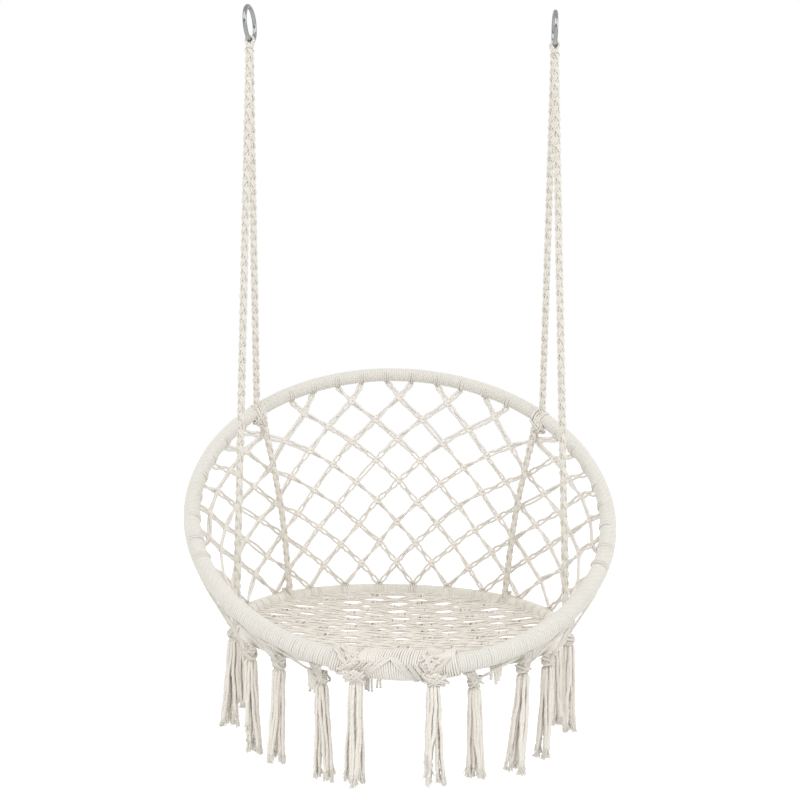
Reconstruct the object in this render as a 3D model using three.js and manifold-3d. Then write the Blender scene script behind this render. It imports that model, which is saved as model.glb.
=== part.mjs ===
// Hanging macrame chair: two cord-wrapped steel hoops, knotted nets, four braided
// ropes, two hanging rings and a fringe of tassels.
// Millimetres and degrees. +Y is the back of the chair, +Z up, and names say left
// and right as the chair is seen from the front: left is -X.
// The origin is the middle of the line between the tops of the two rings' bores,
// where the hooks that carry the chair bear.
import * as THREE from 'three';
import { mergeVertices } from 'three/addons/utils/BufferGeometryUtils.js';
import { ParametricGeometry } from 'three/addons/geometries/ParametricGeometry.js';
import Module from 'manifold-3d';

const gap = 0.3; // clearance between pieces that touch on the real chair
const overrun = 6; // how far a cutter passes what it cuts
const tiny = 1e-6; // keeps a comparison clear of rounding
const straightSine = 0.15; // two bars closer to one line than this are one

// Steel rings
const ringSpacing = 576;
const ringBore = 53;
const ringWire = 8;
const ringTurns = { left: -10, right: -7 };
const ringSides = 10;
const ringSteps = 28;

// Back hoop: centreline radius, and the drop from the hooks to its centre
const backHoopRadius = 385;
const backHoopDrop = 908;
const backHoopForward = 6.7;
const backHoopTilt = 37.3;
const backHoopSteps = 48;
const sideLean = 1.2; // the hoops lean, +X side lower
const backWrapDiameter = 30;

// Seat hoop
const seatHoopRadius = 299;
const seatHoopTilt = -1.6;
const seatHoopSteps = 40;
const seatWrapDiameter = 29;

// Steel tube of both hoops, and the wrapping over it
const tubeDiameter = 22;
const tubeWall = 1.5;
const ventHole = 3;
const ventSides = 6;
const wrapSlot = 2; // where the wrapping's two ends meet
const tubeSides = 8;
const wrapSides = 10;

// Lashing that binds the two hoops at the front
const lashingWall = 4;
const lashingLeft = 110;
const lashingRight = 84;
const lashingStations = 6;
const lashingHalfSides = 5;
const lashingKnotWidth = 48;
const lashingKnotDepth = 17;
const lashingKnotHeight = 34;
const lashingKnotShare = 1 / 4; // of a knot's depth, from the lashing's face to its middle
const lashingKnotSink = 3; // how far below the back hoop's centreline the knots sit

// Ropes
const ropeDiameter = 15;
const ropeSides = 8;
const ropeSteps = 5;
const lowerRopeSteps = 9;
const lowerRopeInset = 12; // inside of the back net
const lowerRopeBow = 13;
const ropePairSpacing = 16.5; // between the two ropes' centres under the binding
const eyeCord = 3.4;
const eyeSide = 4.9; // play between the eye's leg and the ring wire
const eyeTop = 0.95; // play over the ring wire
const eyeLeg = 15;
const eyeFoot = 6; // from the eye's middle to each leg at the binding
const eyeSteps = 14;
const eyeBreadthShare = 1.5; // the eye's cords lie side by side along the wire
const bindingBreadth = 19;
const bindingDepth = 35;
const bindingHeight = 14;

// Knots that tie the ropes to the hoops
const collarWall = 6.5;
const collarLength = 34;
const collarStations = 3;
const frontRopeAngle = 69.5; // from the front of the seat hoop
const lowerRopeTurn = 51.5; // from the back of the seat hoop

// Back net
const backNetRows = 9;
const backNetTopColumn = 3; // the first row's last column, at the rear rope's knot
const backNetSideColumn = 5.5; // the last column of all: each row grows by half a column
const backNetColumnTurn = 16.9;
const backNetHitchShare = 0.25;
const backNetKnotShare = 0.1; // hitches drawn together on the rear rope's knot
const backNetSideShare = 0.5; // hitches of the rows' outer knots, further along the hoop
const backNetLowHitches = [6.5, 6.9]; // columns of the two lowest hitches on the back hoop
const backNetTopRoom = 50; // from the back hoop to the first row
const backNetFootRoom = 62; // from the last row to the seat hoop
const backNetFootShares = [0.85, 0.275]; // seat hoop angle per back hoop angle
const netStrand = 9; // two cords side by side
const netThickness = 4.5;

// Seat net
const seatCellLength = 95;
const seatCellDepth = 56;
const seatKnotLength = 38;
const seatStrand = 10;
const seatKnotBreadth = 17;
const seatThickness = 6;
const seatSag = 18;

// Side webs between the hoops
const webBreadth = 13;
const webThickness = 5;
const footShare = 1 / 3; // how far up its knot a web's foot lies

// Tassels, front left to front right as the sitter's front is seen
const tasselLength = 185;
const tasselTopRadius = 9;
const tasselWaistRadius = 10.5;
const tasselFootRadius = 12.5;
const tasselSides = 8;
const ropeTasselOutset = 20; // from the seat hoop's centreline, outwards
const lumpSides = 8;
const lumpRings = 6;
const knotBreadth = 27;
const knotDepth = 18;
const knotHeight = 23;
const knotDrop = 16; // knot centre below the seat hoop's centreline
const knotInset = 2; // how far the knots press into the fringe of the seat wrapping
const nearFrontAngle = 30; // knots nearer the front than this hang lower
const nearFrontDropShare = 1.6;

const axisCount = 3;
const wrapFlat = Math.cos(Math.PI / wrapSides); // a flat's distance from the middle, per corner's
const degrees = Math.PI / 180;
const fullTurn = 360;
const halfTurn = 180;
const quarterTurn = 90;
const up = new THREE.Vector3(0, 0, 1);
const sides = { left: -1, right: 1 };

const cotton = { color: 0xe9e4d6, roughness: 0.95, metalness: 0 };
const shadedCotton = { color: 0xded6c4, roughness: 0.95, metalness: 0 };
const steel = { color: 0xb9bcc0, roughness: 0.22, metalness: 1 };
const blackSteel = { color: 0x4a4c50, roughness: 0.5, metalness: 0.9 };

const wasm = await Module();
wasm.setup();

function solidOf(geometry) {
  const bare = geometry.clone();
  bare.deleteAttribute('normal');
  bare.deleteAttribute('uv');
  const merged = mergeVertices(bare);
  return new wasm.Manifold(new wasm.Mesh({
    numProp: axisCount,
    vertProperties: merged.attributes.position.array,
    triVerts: Uint32Array.from(merged.index.array),
  }));
}

function geometryOf(solid) {
  const mesh = solid.getMesh();
  const geometry = new THREE.BufferGeometry();
  geometry.setAttribute('position', new THREE.BufferAttribute(mesh.vertProperties, axisCount));
  geometry.setIndex(new THREE.BufferAttribute(mesh.triVerts, 1));
  geometry.computeVertexNormals();
  return geometry;
}

function join(...geometries) {
  return geometryOf(geometries.map(solidOf).reduce((solid, next) => solid.add(next)));
}

// Cuts a geometry and leaves out the crumbs that a cut makes at a bar's corner
function cut(geometry, ...cutters) {
  const whole = cutters.reduce((solid, c) => solid.subtract(solidOf(c)), solidOf(geometry));
  const pieces = whole.decompose().sort((a, b) => b.volume() - a.volume());
  return geometryOf(pieces[0]);
}

const chair = new THREE.Group();

function addMesh(name, geometry, finish, parent = chair) {
  const mesh = new THREE.Mesh(geometry, new THREE.MeshStandardMaterial(finish));
  mesh.name = name;
  parent.add(mesh);
  return mesh;
}

// A rope of round section, or of one that is broader by a factor
function ropeGeometry(curve, radius, steps, broader = 1) {
  const corners = [];
  for (let i = 0; i < ropeSides; i++) {
    const a = (i + 1 / 2) / ropeSides * 2 * Math.PI;
    corners.push(new THREE.Vector2(radius * broader * Math.cos(a), radius * Math.sin(a)));
  }
  const options = { steps, extrudePath: curve, bevelEnabled: false };
  return new THREE.ExtrudeGeometry(new THREE.Shape(corners), options);
}

// Hoops. An angle of 0 is the front, and it grows towards the right side.
class Hoop {
  constructor(radius, steps, tilt, wrapDiameter) {
    this.radius = radius;
    this.steps = steps;
    this.wrapRadius = wrapDiameter / 2;
    this.turn = new THREE.Quaternion().setFromEuler(
      new THREE.Euler(tilt * degrees, sideLean * degrees, 0, 'YXZ'));
    this.centre = new THREE.Vector3();
    this.sagitta = radius * (1 - Math.cos(Math.PI / steps));
  }

  corner(index) {
    const a = index / this.steps * 2 * Math.PI;
    const spoke = new THREE.Vector3(Math.sin(a), -Math.cos(a), 0).multiplyScalar(this.radius);
    return spoke.applyQuaternion(this.turn).add(this.centre);
  }

  // A point on the faceted centreline
  point(angle) {
    const place = angle / fullTurn * this.steps;
    const before = Math.floor(place);
    return this.corner(before).lerp(this.corner(before + 1), place - before);
  }

  tangent(angle) {
    const place = Math.floor(angle / fullTurn * this.steps);
    return this.corner(place + 1).sub(this.corner(place)).normalize();
  }

  torus(tubeRadius, count) {
    return new THREE.TorusGeometry(this.radius, tubeRadius, count, this.steps);
  }

  // A body around the wrapping, in the frame of the whole chair, used as a cutter
  envelope(clearance) {
    const torus = this.torus(this.wrapRadius + clearance, wrapSides);
    torus.applyQuaternion(this.turn);
    return torus.translate(this.centre.x, this.centre.y, this.centre.z);
  }
}

const backHoop = new Hoop(backHoopRadius, backHoopSteps, backHoopTilt, backWrapDiameter);
backHoop.centre.set(0, -backHoopForward, -backHoopDrop);
const seatHoop = new Hoop(seatHoopRadius, seatHoopSteps, seatHoopTilt, seatWrapDiameter);
const hoopSpacing = backHoop.wrapRadius + seatHoop.wrapRadius + gap;
const seatFront = seatHoop.point(0);
seatHoop.centre.subVectors(backHoop.point(0), seatFront).setX(0);
seatHoop.centre.y += hoopSpacing;

function addHoop(label, hoop) {
  const group = new THREE.Group();
  group.position.copy(hoop.centre);
  group.quaternion.copy(hoop.turn);
  chair.add(group);
  const tubeRadius = tubeDiameter / 2;
  const vent = new THREE.CylinderGeometry(ventHole / 2, ventHole / 2, tubeRadius, ventSides);
  vent.rotateX(Math.PI / 2);
  vent.translate(0, -hoop.radius, -tubeRadius);
  const bore = hoop.torus(tubeRadius - tubeWall, tubeSides);
  addMesh(`${label}_hoop_tube`, cut(hoop.torus(tubeRadius, tubeSides), bore, vent), blackSteel, group);
  const slotDepth = 2 * hoop.wrapRadius + overrun;
  const slot = new THREE.BoxGeometry(wrapSlot, slotDepth, slotDepth);
  slot.translate(0, -hoop.radius, 0);
  const inside = hoop.torus(tubeRadius + gap, tubeSides);
  addMesh(`${label}_hoop_wrap`, cut(hoop.torus(hoop.wrapRadius, wrapSides), inside, slot), cotton, group);
}
addHoop('back', backHoop);
addHoop('seat', seatHoop);

// A wall that closes on itself: section(place) gives one ring of points at each
// station, outer from the first station to the last and inner on the way back.
function sleeveGeometry(stations, ringCount, outer, inner) {
  const rows = [];
  for (let i = 0; i <= stations; i++) rows.push(outer(i / stations));
  for (let i = stations; i >= 0; i--) rows.push(inner(i / stations));
  const surface = (u, v, target) => {
    const row = rows[Math.round(v * rows.length) % rows.length];
    target.copy(row[Math.round(u * ringCount) % ringCount]);
  };
  return new ParametricGeometry(surface, ringCount, rows.length);
}

// A solid of the same stations, closed at both ends
function sweptGeometry(stations, ringCount, outer) {
  const centreOf = (row) => row
    .reduce((sum, p) => sum.add(p), new THREE.Vector3()).divideScalar(ringCount);
  const rows = [];
  for (let i = 0; i <= stations; i++) rows.push(outer(i / stations));
  const first = Array(ringCount).fill(centreOf(rows[0]));
  const last = Array(ringCount).fill(centreOf(rows[stations]));
  rows.unshift(first);
  rows.push(last);
  const surface = (u, v, target) => {
    target.copy(rows[Math.round(v * (rows.length - 1))][Math.round(u * ringCount) % ringCount]);
  };
  return new ParametricGeometry(surface, ringCount, rows.length - 1);
}

// Lashing: one oblong ring of points around both hoops at a share of its length
function lashingSection(clearance) {
  return (share) => {
    const x = -lashingLeft + share * (lashingLeft + lashingRight);
    const backAngle = Math.asin(x / backHoop.radius) / degrees;
    const seatAngle = Math.asin(x / seatHoop.radius) / degrees;
    const a = backHoop.point(backAngle);
    const b = seatHoop.point(seatAngle);
    const across = b.clone().sub(a).normalize();
    const along = backHoop.tangent(backAngle).add(seatHoop.tangent(seatAngle)).normalize();
    const over = along.clone().cross(across).normalize();
    const ring = [];
    [[a, backHoop, 1], [b, seatHoop, -1]].forEach(([middle, hoop, outside]) => {
      const flat = Math.cos(Math.PI / 2 / lashingHalfSides);
      const radius = (hoop.wrapRadius + hoop.sagitta + clearance) / flat;
      for (let i = 0; i <= lashingHalfSides; i++) {
        const turn = outside * Math.PI / 2 + i / lashingHalfSides * Math.PI;
        ring.push(middle.clone()
          .addScaledVector(across, radius * Math.cos(turn))
          .addScaledVector(over, radius * Math.sin(turn)));
      }
    });
    return ring;
  };
}
const lashingCount = 2 * (lashingHalfSides + 1);
const lashingOuter = gap + lashingWall;
addMesh('hoop_lashing', sleeveGeometry(lashingStations, lashingCount,
  lashingSection(lashingOuter), lashingSection(gap)), cotton);
const lashingEnvelope = sweptGeometry(lashingStations, lashingCount,
  lashingSection(lashingOuter + gap));

// Angles from the back at which a column of the back net meets the two hoops
function backNetTurns(column) {
  const turn = column * backNetColumnTurn;
  const [base, growth] = backNetFootShares;
  return { turn, footTurn: turn * (base + growth * (turn / quarterTurn) ** 2) };
}

// Collars: the round turns of a rope's knot on a hoop
function collarSection(hoop, angle, radius, extra) {
  const reach = (collarLength / 2 + extra) / hoop.radius / degrees;
  return (share) => {
    const at = angle + (2 * share - 1) * reach;
    const middle = hoop.point(at);
    const along = hoop.tangent(angle);
    const across = middle.clone().sub(hoop.centre).normalize();
    const over = along.clone().cross(across).normalize();
    const ring = [];
    for (let i = 0; i < wrapSides; i++) {
      const turn = i / wrapSides * 2 * Math.PI;
      ring.push(middle.clone()
        .addScaledVector(across, radius * Math.cos(turn))
        .addScaledVector(over, radius * Math.sin(turn)));
    }
    return ring;
  };
}

class Collar {
  constructor(hoop, angle) {
    this.hoop = hoop;
    this.angle = angle;
    this.inner = (hoop.wrapRadius + hoop.sagitta) + gap;
    this.outer = this.inner + collarWall;
    this.centre = hoop.point(angle);
  }

  geometry() {
    return sleeveGeometry(collarStations, wrapSides,
      collarSection(this.hoop, this.angle, this.outer, 0),
      collarSection(this.hoop, this.angle, this.inner, 0));
  }

  envelope() {
    return sweptGeometry(collarStations, wrapSides,
      collarSection(this.hoop, this.angle, this.outer + gap, gap));
  }
}

const collars = {};
const rearRopeAngle = halfTurn - backNetTurns(backNetTopColumn).turn;
const lowerRopeAngle = halfTurn - lowerRopeTurn;
for (const [side, sign] of Object.entries(sides)) {
  collars[side] = {
    rear: new Collar(backHoop, sign * rearRopeAngle),
    lower: new Collar(seatHoop, sign * lowerRopeAngle),
    front: new Collar(seatHoop, sign * frontRopeAngle),
  };
  addMesh(`rear_rope_knot_${side}`, collars[side].rear.geometry(), cotton);
  addMesh(`lower_rope_knot_${side}`, collars[side].lower.geometry(), cotton);
  addMesh(`front_rope_knot_${side}`, collars[side].front.geometry(), cotton);
}

// Rings, rope eyes, bindings and ropes
const ringRadius = ringBore / 2 + ringWire / 2;
const ringCentreDrop = ringBore / 2;
const wireDrop = ringCentreDrop + ringRadius;
const eyeHalf = ringWire / 2 + eyeSide + eyeCord / 2;
const eyeArchDrop = wireDrop + eyeHalf - eyeCord / 2 - ringWire / 2 - eyeTop;
const bindingTop = eyeArchDrop + eyeLeg;
const bindingFoot = bindingTop + bindingHeight;

function eyeGeometry() {
  const foot = new THREE.Vector3(-eyeFoot, 0, -bindingTop + gap);
  const spring = new THREE.Vector3(-eyeHalf, 0, -eyeArchDrop);
  const ankle = foot.clone().addScaledVector(up, eyeCord);
  const points = [foot, ankle, spring];
  const archSteps = eyeSteps / 2;
  for (let i = 1; i < archSteps; i++) {
    const a = i / archSteps * Math.PI;
    points.push(new THREE.Vector3(-eyeHalf * Math.cos(a), 0, -eyeArchDrop + eyeHalf * Math.sin(a)));
  }
  points.push(spring.clone().setX(eyeHalf), ankle.clone().setX(eyeFoot), foot.clone().setX(eyeFoot));
  return ropeGeometry(new THREE.CatmullRomCurve3(points, false, 'centripetal'), eyeCord / 2,
    eyeSteps, eyeBreadthShare);
}

function bindingGeometry(extra) {
  const geometry = new THREE.CylinderGeometry(1, 1, bindingHeight + 2 * extra, wrapSides);
  return geometry.rotateX(Math.PI / 2).scale(bindingBreadth / 2 + extra, bindingDepth / 2 + extra, 1);
}

const frontRopeEnvelopes = [];
for (const [side, sign] of Object.entries(sides)) {
  const x = sign * ringSpacing / 2;
  const ring = addMesh(`hanging_ring_${side}`,
    new THREE.TorusGeometry(ringRadius, ringWire / 2, ringSides, ringSteps), steel);
  ring.position.set(x, 0, -ringCentreDrop);
  ring.rotation.set(0, Math.PI / 2, 0);
  ring.rotateOnWorldAxis(up, ringTurns[side] * degrees);

  addMesh(`rope_eye_${side}`, eyeGeometry(), cotton).position.x = x;
  const binding = addMesh(`eye_binding_${side}`, bindingGeometry(0), cotton);
  binding.position.set(x, 0, -(bindingTop + bindingFoot) / 2);
  const bindingEnvelope = bindingGeometry(gap).translate(...binding.position.toArray());

  const knots = collars[side];
  const start = (ahead) => new THREE.Vector3(x, -ahead * ropePairSpacing / 2, -bindingFoot + overrun);
  const outward = knots.front.centre.clone().sub(seatHoop.centre).setZ(0).normalize();
  const frontEnd = knots.front.centre.clone()
    .addScaledVector(outward, seatHoop.wrapRadius + gap);
  const route = (...points) => new THREE.CatmullRomCurve3(points, false, 'centripetal');
  const ropeRadius = ropeDiameter / 2;
  const frontRoute = new THREE.LineCurve3(start(1), frontEnd);
  const rearRoute = new THREE.LineCurve3(start(-1), knots.rear.centre);
  frontRopeEnvelopes.push(ropeGeometry(frontRoute, ropeRadius + gap, ropeSteps));
  addMesh(`front_rope_${side}`, cut(ropeGeometry(frontRoute, ropeRadius, ropeSteps),
    bindingEnvelope, knots.front.envelope()), cotton);
  addMesh(`rear_rope_${side}`, cut(ropeGeometry(rearRoute, ropeRadius, ropeSteps),
    bindingEnvelope, knots.rear.envelope()), cotton);

  const inward = seatHoop.centre.clone().sub(knots.lower.centre).setZ(0).normalize();
  const head = knots.rear.centre.clone().addScaledVector(inward, lowerRopeInset);
  const foot = knots.lower.centre.clone().addScaledVector(inward, lowerRopeInset);
  const waist = head.clone().lerp(foot, 1 / 2).addScaledVector(inward, lowerRopeBow);
  addMesh(`lower_rope_${side}`, cut(ropeGeometry(route(head, waist, foot), ropeRadius, lowerRopeSteps),
    knots.rear.envelope(), knots.lower.envelope()), shadedCotton);
}

// Nets are bar lattices. A knot is a point with the net's outward direction, and a
// link joins two knots by a flat bar whose sides meet its neighbours' at the corners.
class Net {
  constructor(thickness) {
    this.thickness = thickness;
    this.knots = [];
    this.links = [];
  }

  knot(at, outward, hoop) {
    this.knots.push({ at, outward: outward.clone().normalize(), hoop, ends: [] });
    return this.knots.length - 1;
  }

  // Where a bar stops on a hoop: its corners lie just off the wrapping
  endOn(hoop, angle, outward, at = hoop.point(angle)) {
    const around = { axis: hoop.tangent(angle), radius: hoop.wrapRadius + hoop.sagitta + gap };
    return this.knot(at, outward, around);
  }

  link(a, b, breadth) {
    this.links.push({ a, b, half: breadth / 2 });
  }

  geometry() {
    const { knots, links, thickness } = this;
    const positions = [];
    const faces = [];
    const quad = (p, q, r, s) => faces.push(p, q, r, p, r, s);
    // moves a corner along its bar until it is clear of the hoop that it ends on
    const clearOf = ({ axis, radius, half }, corner, ahead) => {
      const reach = Math.hypot(radius, half);
      const off = corner.clone().projectOnPlane(axis);
      const way = ahead.clone().projectOnPlane(axis);
      const a = way.lengthSq();
      const b = off.dot(way);
      const t = (-b + Math.sqrt(b * b - a * (off.lengthSq() - reach * reach))) / a;
      return corner.addScaledVector(ahead, t);
    };
    const pair = (knot, offset, ahead) => {
      for (const s of [1, -1]) {
        const p = offset.clone().addScaledVector(knot.outward, s * thickness / 2);
        if (knot.hoop) clearOf(knot.hoop, p, ahead);
        p.add(knot.at);
        positions.push(p.x, p.y, p.z);
      }
      const top = positions.length / axisCount - 2;
      return { top, foot: top + 1 };
    };
    for (const link of links) {
      knots[link.a].ends.push({ link, other: link.b });
      knots[link.b].ends.push({ link, other: link.a });
    }
    for (const knot of knots.filter((k) => k.ends.length)) {
      const far = (end) => knots[end.other].at.clone().sub(knot.at)
        .projectOnPlane(knot.outward).normalize();
      const first = far(knot.ends[0]);
      const second = knot.outward.clone().cross(first);
      for (const end of knot.ends) {
        end.ahead = far(end);
        end.left = knot.outward.clone().cross(end.ahead);
        end.angle = Math.atan2(end.ahead.dot(second), end.ahead.dot(first) + tiny);
      }
      knot.ends.sort((p, q) => p.angle - q.angle);
      const count = knot.ends.length;
      if (count === 1) {
        const [end] = knot.ends;
        const reach = end.link.half;
        if (knot.hoop) knot.hoop.half = reach;
        const along = knots[end.other].at.clone().sub(knot.at).normalize();
        end.leftCorner = pair(knot, end.left.clone().multiplyScalar(reach), along);
        end.rightCorner = pair(knot, end.left.clone().multiplyScalar(-reach), along);
        quad(end.leftCorner.foot, end.rightCorner.foot, end.rightCorner.top, end.leftCorner.top);
        continue;
      }
      knot.ends.forEach((end, i) => {
        const next = knot.ends[(i + 1) % count];
        const a = end.link.half;
        const b = next.link.half;
        const cosine = end.ahead.dot(next.ahead);
        const sine = end.left.dot(next.ahead);
        const straight = Math.abs(sine) < straightSine && cosine < 0;
        const reach = straight ? 0 : (b + a * cosine) / sine;
        const side = straight ? (a + b) / 2 : a;
        const offset = end.left.clone().multiplyScalar(side).addScaledVector(end.ahead, reach);
        end.leftCorner = pair(knot, offset);
        next.rightCorner = end.leftCorner;
      });
      for (let i = 1; i + 1 < count; i++) {
        const [p, q, r] = [0, i, i + 1].map((n) => knot.ends[n].leftCorner);
        faces.push(p.top, q.top, r.top, p.foot, r.foot, q.foot);
      }
    }
    for (const link of links) {
      const near = knots[link.a].ends.find((end) => end.link === link);
      const far = knots[link.b].ends.find((end) => end.link === link);
      const [nl, nr, fl, fr] = [near.leftCorner, near.rightCorner, far.leftCorner, far.rightCorner];
      quad(nr.top, fl.top, fr.top, nl.top);
      quad(nl.foot, fr.foot, fl.foot, nr.foot);
      quad(nl.foot, nl.top, fr.top, fr.foot);
      quad(nr.foot, fl.foot, fl.top, nr.top);
    }
    const geometry = new THREE.BufferGeometry();
    geometry.setAttribute('position', new THREE.Float32BufferAttribute(positions, axisCount));
    geometry.setIndex(faces);
    return geometry;
  }
}

// Back net: columns fan out from the back
function backNetLine(column) {
  const { turn, footTurn } = backNetTurns(column);
  const head = backHoop.point(halfTurn - turn);
  const foot = seatHoop.point(halfTurn - footTurn);
  const outward = head.clone().add(foot).divideScalar(2).sub(seatHoop.centre).setZ(0);
  return { turn, footTurn, head, foot, length: head.distanceTo(foot), outward };
}

// Rows share a column's length evenly, and keep the top row's last column's pitch
// beyond it. Counted from the seat hoop.
function backNetHeight(row, column) {
  const { length } = backNetLine(Math.min(Math.abs(column), backNetTopColumn));
  const pitch = (length - backNetTopRoom - backNetFootRoom) / (backNetRows - 1);
  return backNetFootRoom + (backNetRows - row) * pitch;
}

// the row at which the net stops growing, and its outer cords turn back to the hoop
const backNetLowRow = 1 + 2 * (backNetSideColumn - backNetTopColumn);

function addBackNet() {
  const net = new Net(netThickness);
  const placed = new Map();
  const lastColumn = (row) => Math.min(backNetTopColumn + (row - 1) / 2, backNetSideColumn);
  const exists = (row, column) => row >= 1 && row <= backNetRows
    && Math.abs(column) <= lastColumn(row) + tiny;
  const knotAt = (row, column) => {
    const name = `${row} ${column}`;
    if (!placed.has(name)) {
      const { head, foot, length, outward } = backNetLine(column);
      placed.set(name, net.knot(foot.lerp(head, backNetHeight(row, column) / length), outward));
    }
    return placed.get(name);
  };
  const hitch = (from, column) => {
    const { turn, outward } = backNetLine(column);
    net.link(net.endOn(backHoop, halfTurn - turn, outward), from, netStrand);
  };
  const foot = (from, column) => {
    const { footTurn, outward } = backNetLine(column);
    net.link(from, net.endOn(seatHoop, halfTurn - footTurn, outward), netStrand);
  };
  // where a knot's cord meets the back hoop when the row above has no knot for it
  const hitchColumn = (row, column, step) => {
    if (row > backNetLowRow) return step * backNetLowHitches[1];
    if (Math.abs(column) < backNetTopColumn) return column + step * backNetHitchShare;
    return column + step * (step * column > 0 ? backNetSideShare : backNetKnotShare);
  };
  for (let row = 1; row <= backNetRows; row++) {
    const inset = row % 2 ? 0 : 1 / 2;
    for (let column = inset - backNetRows; column < backNetRows; column++) {
      if (!exists(row, column)) continue;
      const from = knotAt(row, column);
      for (const step of [-1, 1]) {
        const beside = column + step / 2;
        if (!exists(row - 1, beside)) hitch(from, hitchColumn(row, column, step));
        if (exists(row + 1, beside)) net.link(from, knotAt(row + 1, beside), netStrand);
        else if (row === backNetLowRow) hitch(from, step * backNetLowHitches[0]);
        else foot(from, beside);
      }
    }
  }
  const cutters = Object.values(collars)
    .flatMap((set) => [set.rear.envelope(), set.lower.envelope(), set.front.envelope()])
    .concat(frontRopeEnvelopes);
  addMesh('back_net', cut(net.geometry(), ...cutters), cotton);
}
addBackNet();

// Seat net: cords run from side to side, and meet in long knots in staggered rows
function addSeatNet() {
  const net = new Net(seatThickness);
  const placed = new Map();
  const rim = seatHoop.radius * Math.cos(Math.PI / seatHoop.steps);
  const reachOf = (x, y) => Math.hypot(x, y) / rim;
  const onNet = (x, y) => {
    const reach = Math.min(reachOf(x, y), 1);
    const flat = new THREE.Vector3(x, y, -seatSag * (1 - reach * reach));
    return flat.applyQuaternion(seatHoop.turn).add(seatHoop.centre);
  };
  const upward = up.clone().applyQuaternion(seatHoop.turn);
  const knotAt = (x, y) => {
    const name = `${x.toFixed(1)} ${y.toFixed(1)}`;
    if (!placed.has(name)) placed.set(name, net.knot(onNet(x, y), upward));
    return placed.get(name);
  };
  const room = seatHoop.wrapRadius + seatStrand;
  const inside = (x, y) => Math.hypot(x, y) < rim - room;
  // the bar's end where the line from a point inside to a point outside meets the hoop
  const endAt = (x, y, farX, farY) => {
    const dx = farX - x;
    const dy = farY - y;
    const a = dx * dx + dy * dy;
    const b = x * dx + y * dy;
    const c = x * x + y * y - rim * rim;
    const t = (-b + Math.sqrt(b * b - a * c)) / a;
    const angle = Math.atan2(x + t * dx, -(y + t * dy)) / degrees;
    return net.endOn(seatHoop, angle, upward);
  };
  const link = (x, y, farX, farY, breadth) => {
    const near = inside(x, y);
    const far = inside(farX, farY);
    if (near && far) net.link(knotAt(x, y), knotAt(farX, farY), breadth);
    else if (near) net.link(knotAt(x, y), endAt(x, y, farX, farY), breadth);
    else if (far) net.link(endAt(farX, farY, x, y), knotAt(farX, farY), breadth);
  };
  const rows = Math.ceil(2 * rim / seatCellDepth) + 1;
  const columns = Math.ceil(2 * rim / seatCellLength) + 1;
  for (let i = -columns; i <= columns; i++) {
    for (let j = -rows; j <= rows; j++) {
      const x = i * seatCellLength / 2;
      const y = (j + (i % 2 ? 1 / 2 : 0)) * seatCellDepth;
      const halfKnot = seatKnotLength / 2;
      link(x - halfKnot, y, x + halfKnot, y, seatKnotBreadth);
      for (const s of [-1, 1]) {
        const nextX = x + seatCellLength / 2 - halfKnot;
        link(x + halfKnot, y, nextX, y + s * seatCellDepth / 2, seatStrand);
      }
    }
  }
  const cutters = Object.values(collars).flatMap((set) => [set.front.envelope(), set.lower.envelope()]);
  addMesh('seat_net', cut(net.geometry(), lashingEnvelope, ...cutters), cotton);
}
addSeatNet();

// Tassels. Each has an angle round the seat hoop, its length as a share, and what
// carries it: the web between the hoops, the front rope's knot, the seat hoop
// itself, or one of the lashing's own knots.
const tasselShares = [
  { angle: -88, length: 0.86, on: 'hoop' },
  { angle: -frontRopeAngle, length: 0.98, on: 'rope' },
  { angle: -53.5, length: 1, on: 'web', heads: [-58, -48] },
  { angle: -39.7, length: 0.97, on: 'web', heads: [-45.2, -33.7] },
  { angle: -24.5, length: 0.95, on: 'web', heads: [-31, -20] },
  { angle: -13, length: 0.98, on: 'lashing' },
  { angle: 8, length: 0.96, on: 'lashing' },
  { angle: 19.5, length: 0.9, on: 'web', heads: [15, 26] },
  { angle: 36.7, length: 1, on: 'web', heads: [30.5, 41.5] },
  { angle: 49, length: 0.97, on: 'web', heads: [44.5, 55.5] },
  { angle: frontRopeAngle, length: 0.99, on: 'rope' },
  { angle: 88, length: 0.98, on: 'hoop' },
];

function lumpGeometry(breadth, depth, height, extra = 0) {
  const lump = new THREE.SphereGeometry(1, lumpSides, lumpRings);
  lump.rotateX(Math.PI / 2);
  return lump.scale(breadth / 2 + extra, depth / 2 + extra, height / 2 + extra);
}

function radialPlace(hoop, angle, outset, drop) {
  const at = hoop.point(angle);
  const outward = at.clone().sub(hoop.centre).setZ(0).normalize();
  return at.addScaledVector(outward, outset).addScaledVector(up, -drop);
}

function strandsGeometry(length) {
  const top = tasselTopRadius;
  const dome = top * Math.SQRT1_2;
  const profile = [[0, -length], [tasselFootRadius, -length],
    [tasselWaistRadius, -length / 2], [top, 0], [dome, dome], [0, top]];
  const points = profile.map(([r, z]) => new THREE.Vector2(r, z));
  return new THREE.LatheGeometry(points, tasselSides).rotateX(Math.PI / 2);
}

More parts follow.
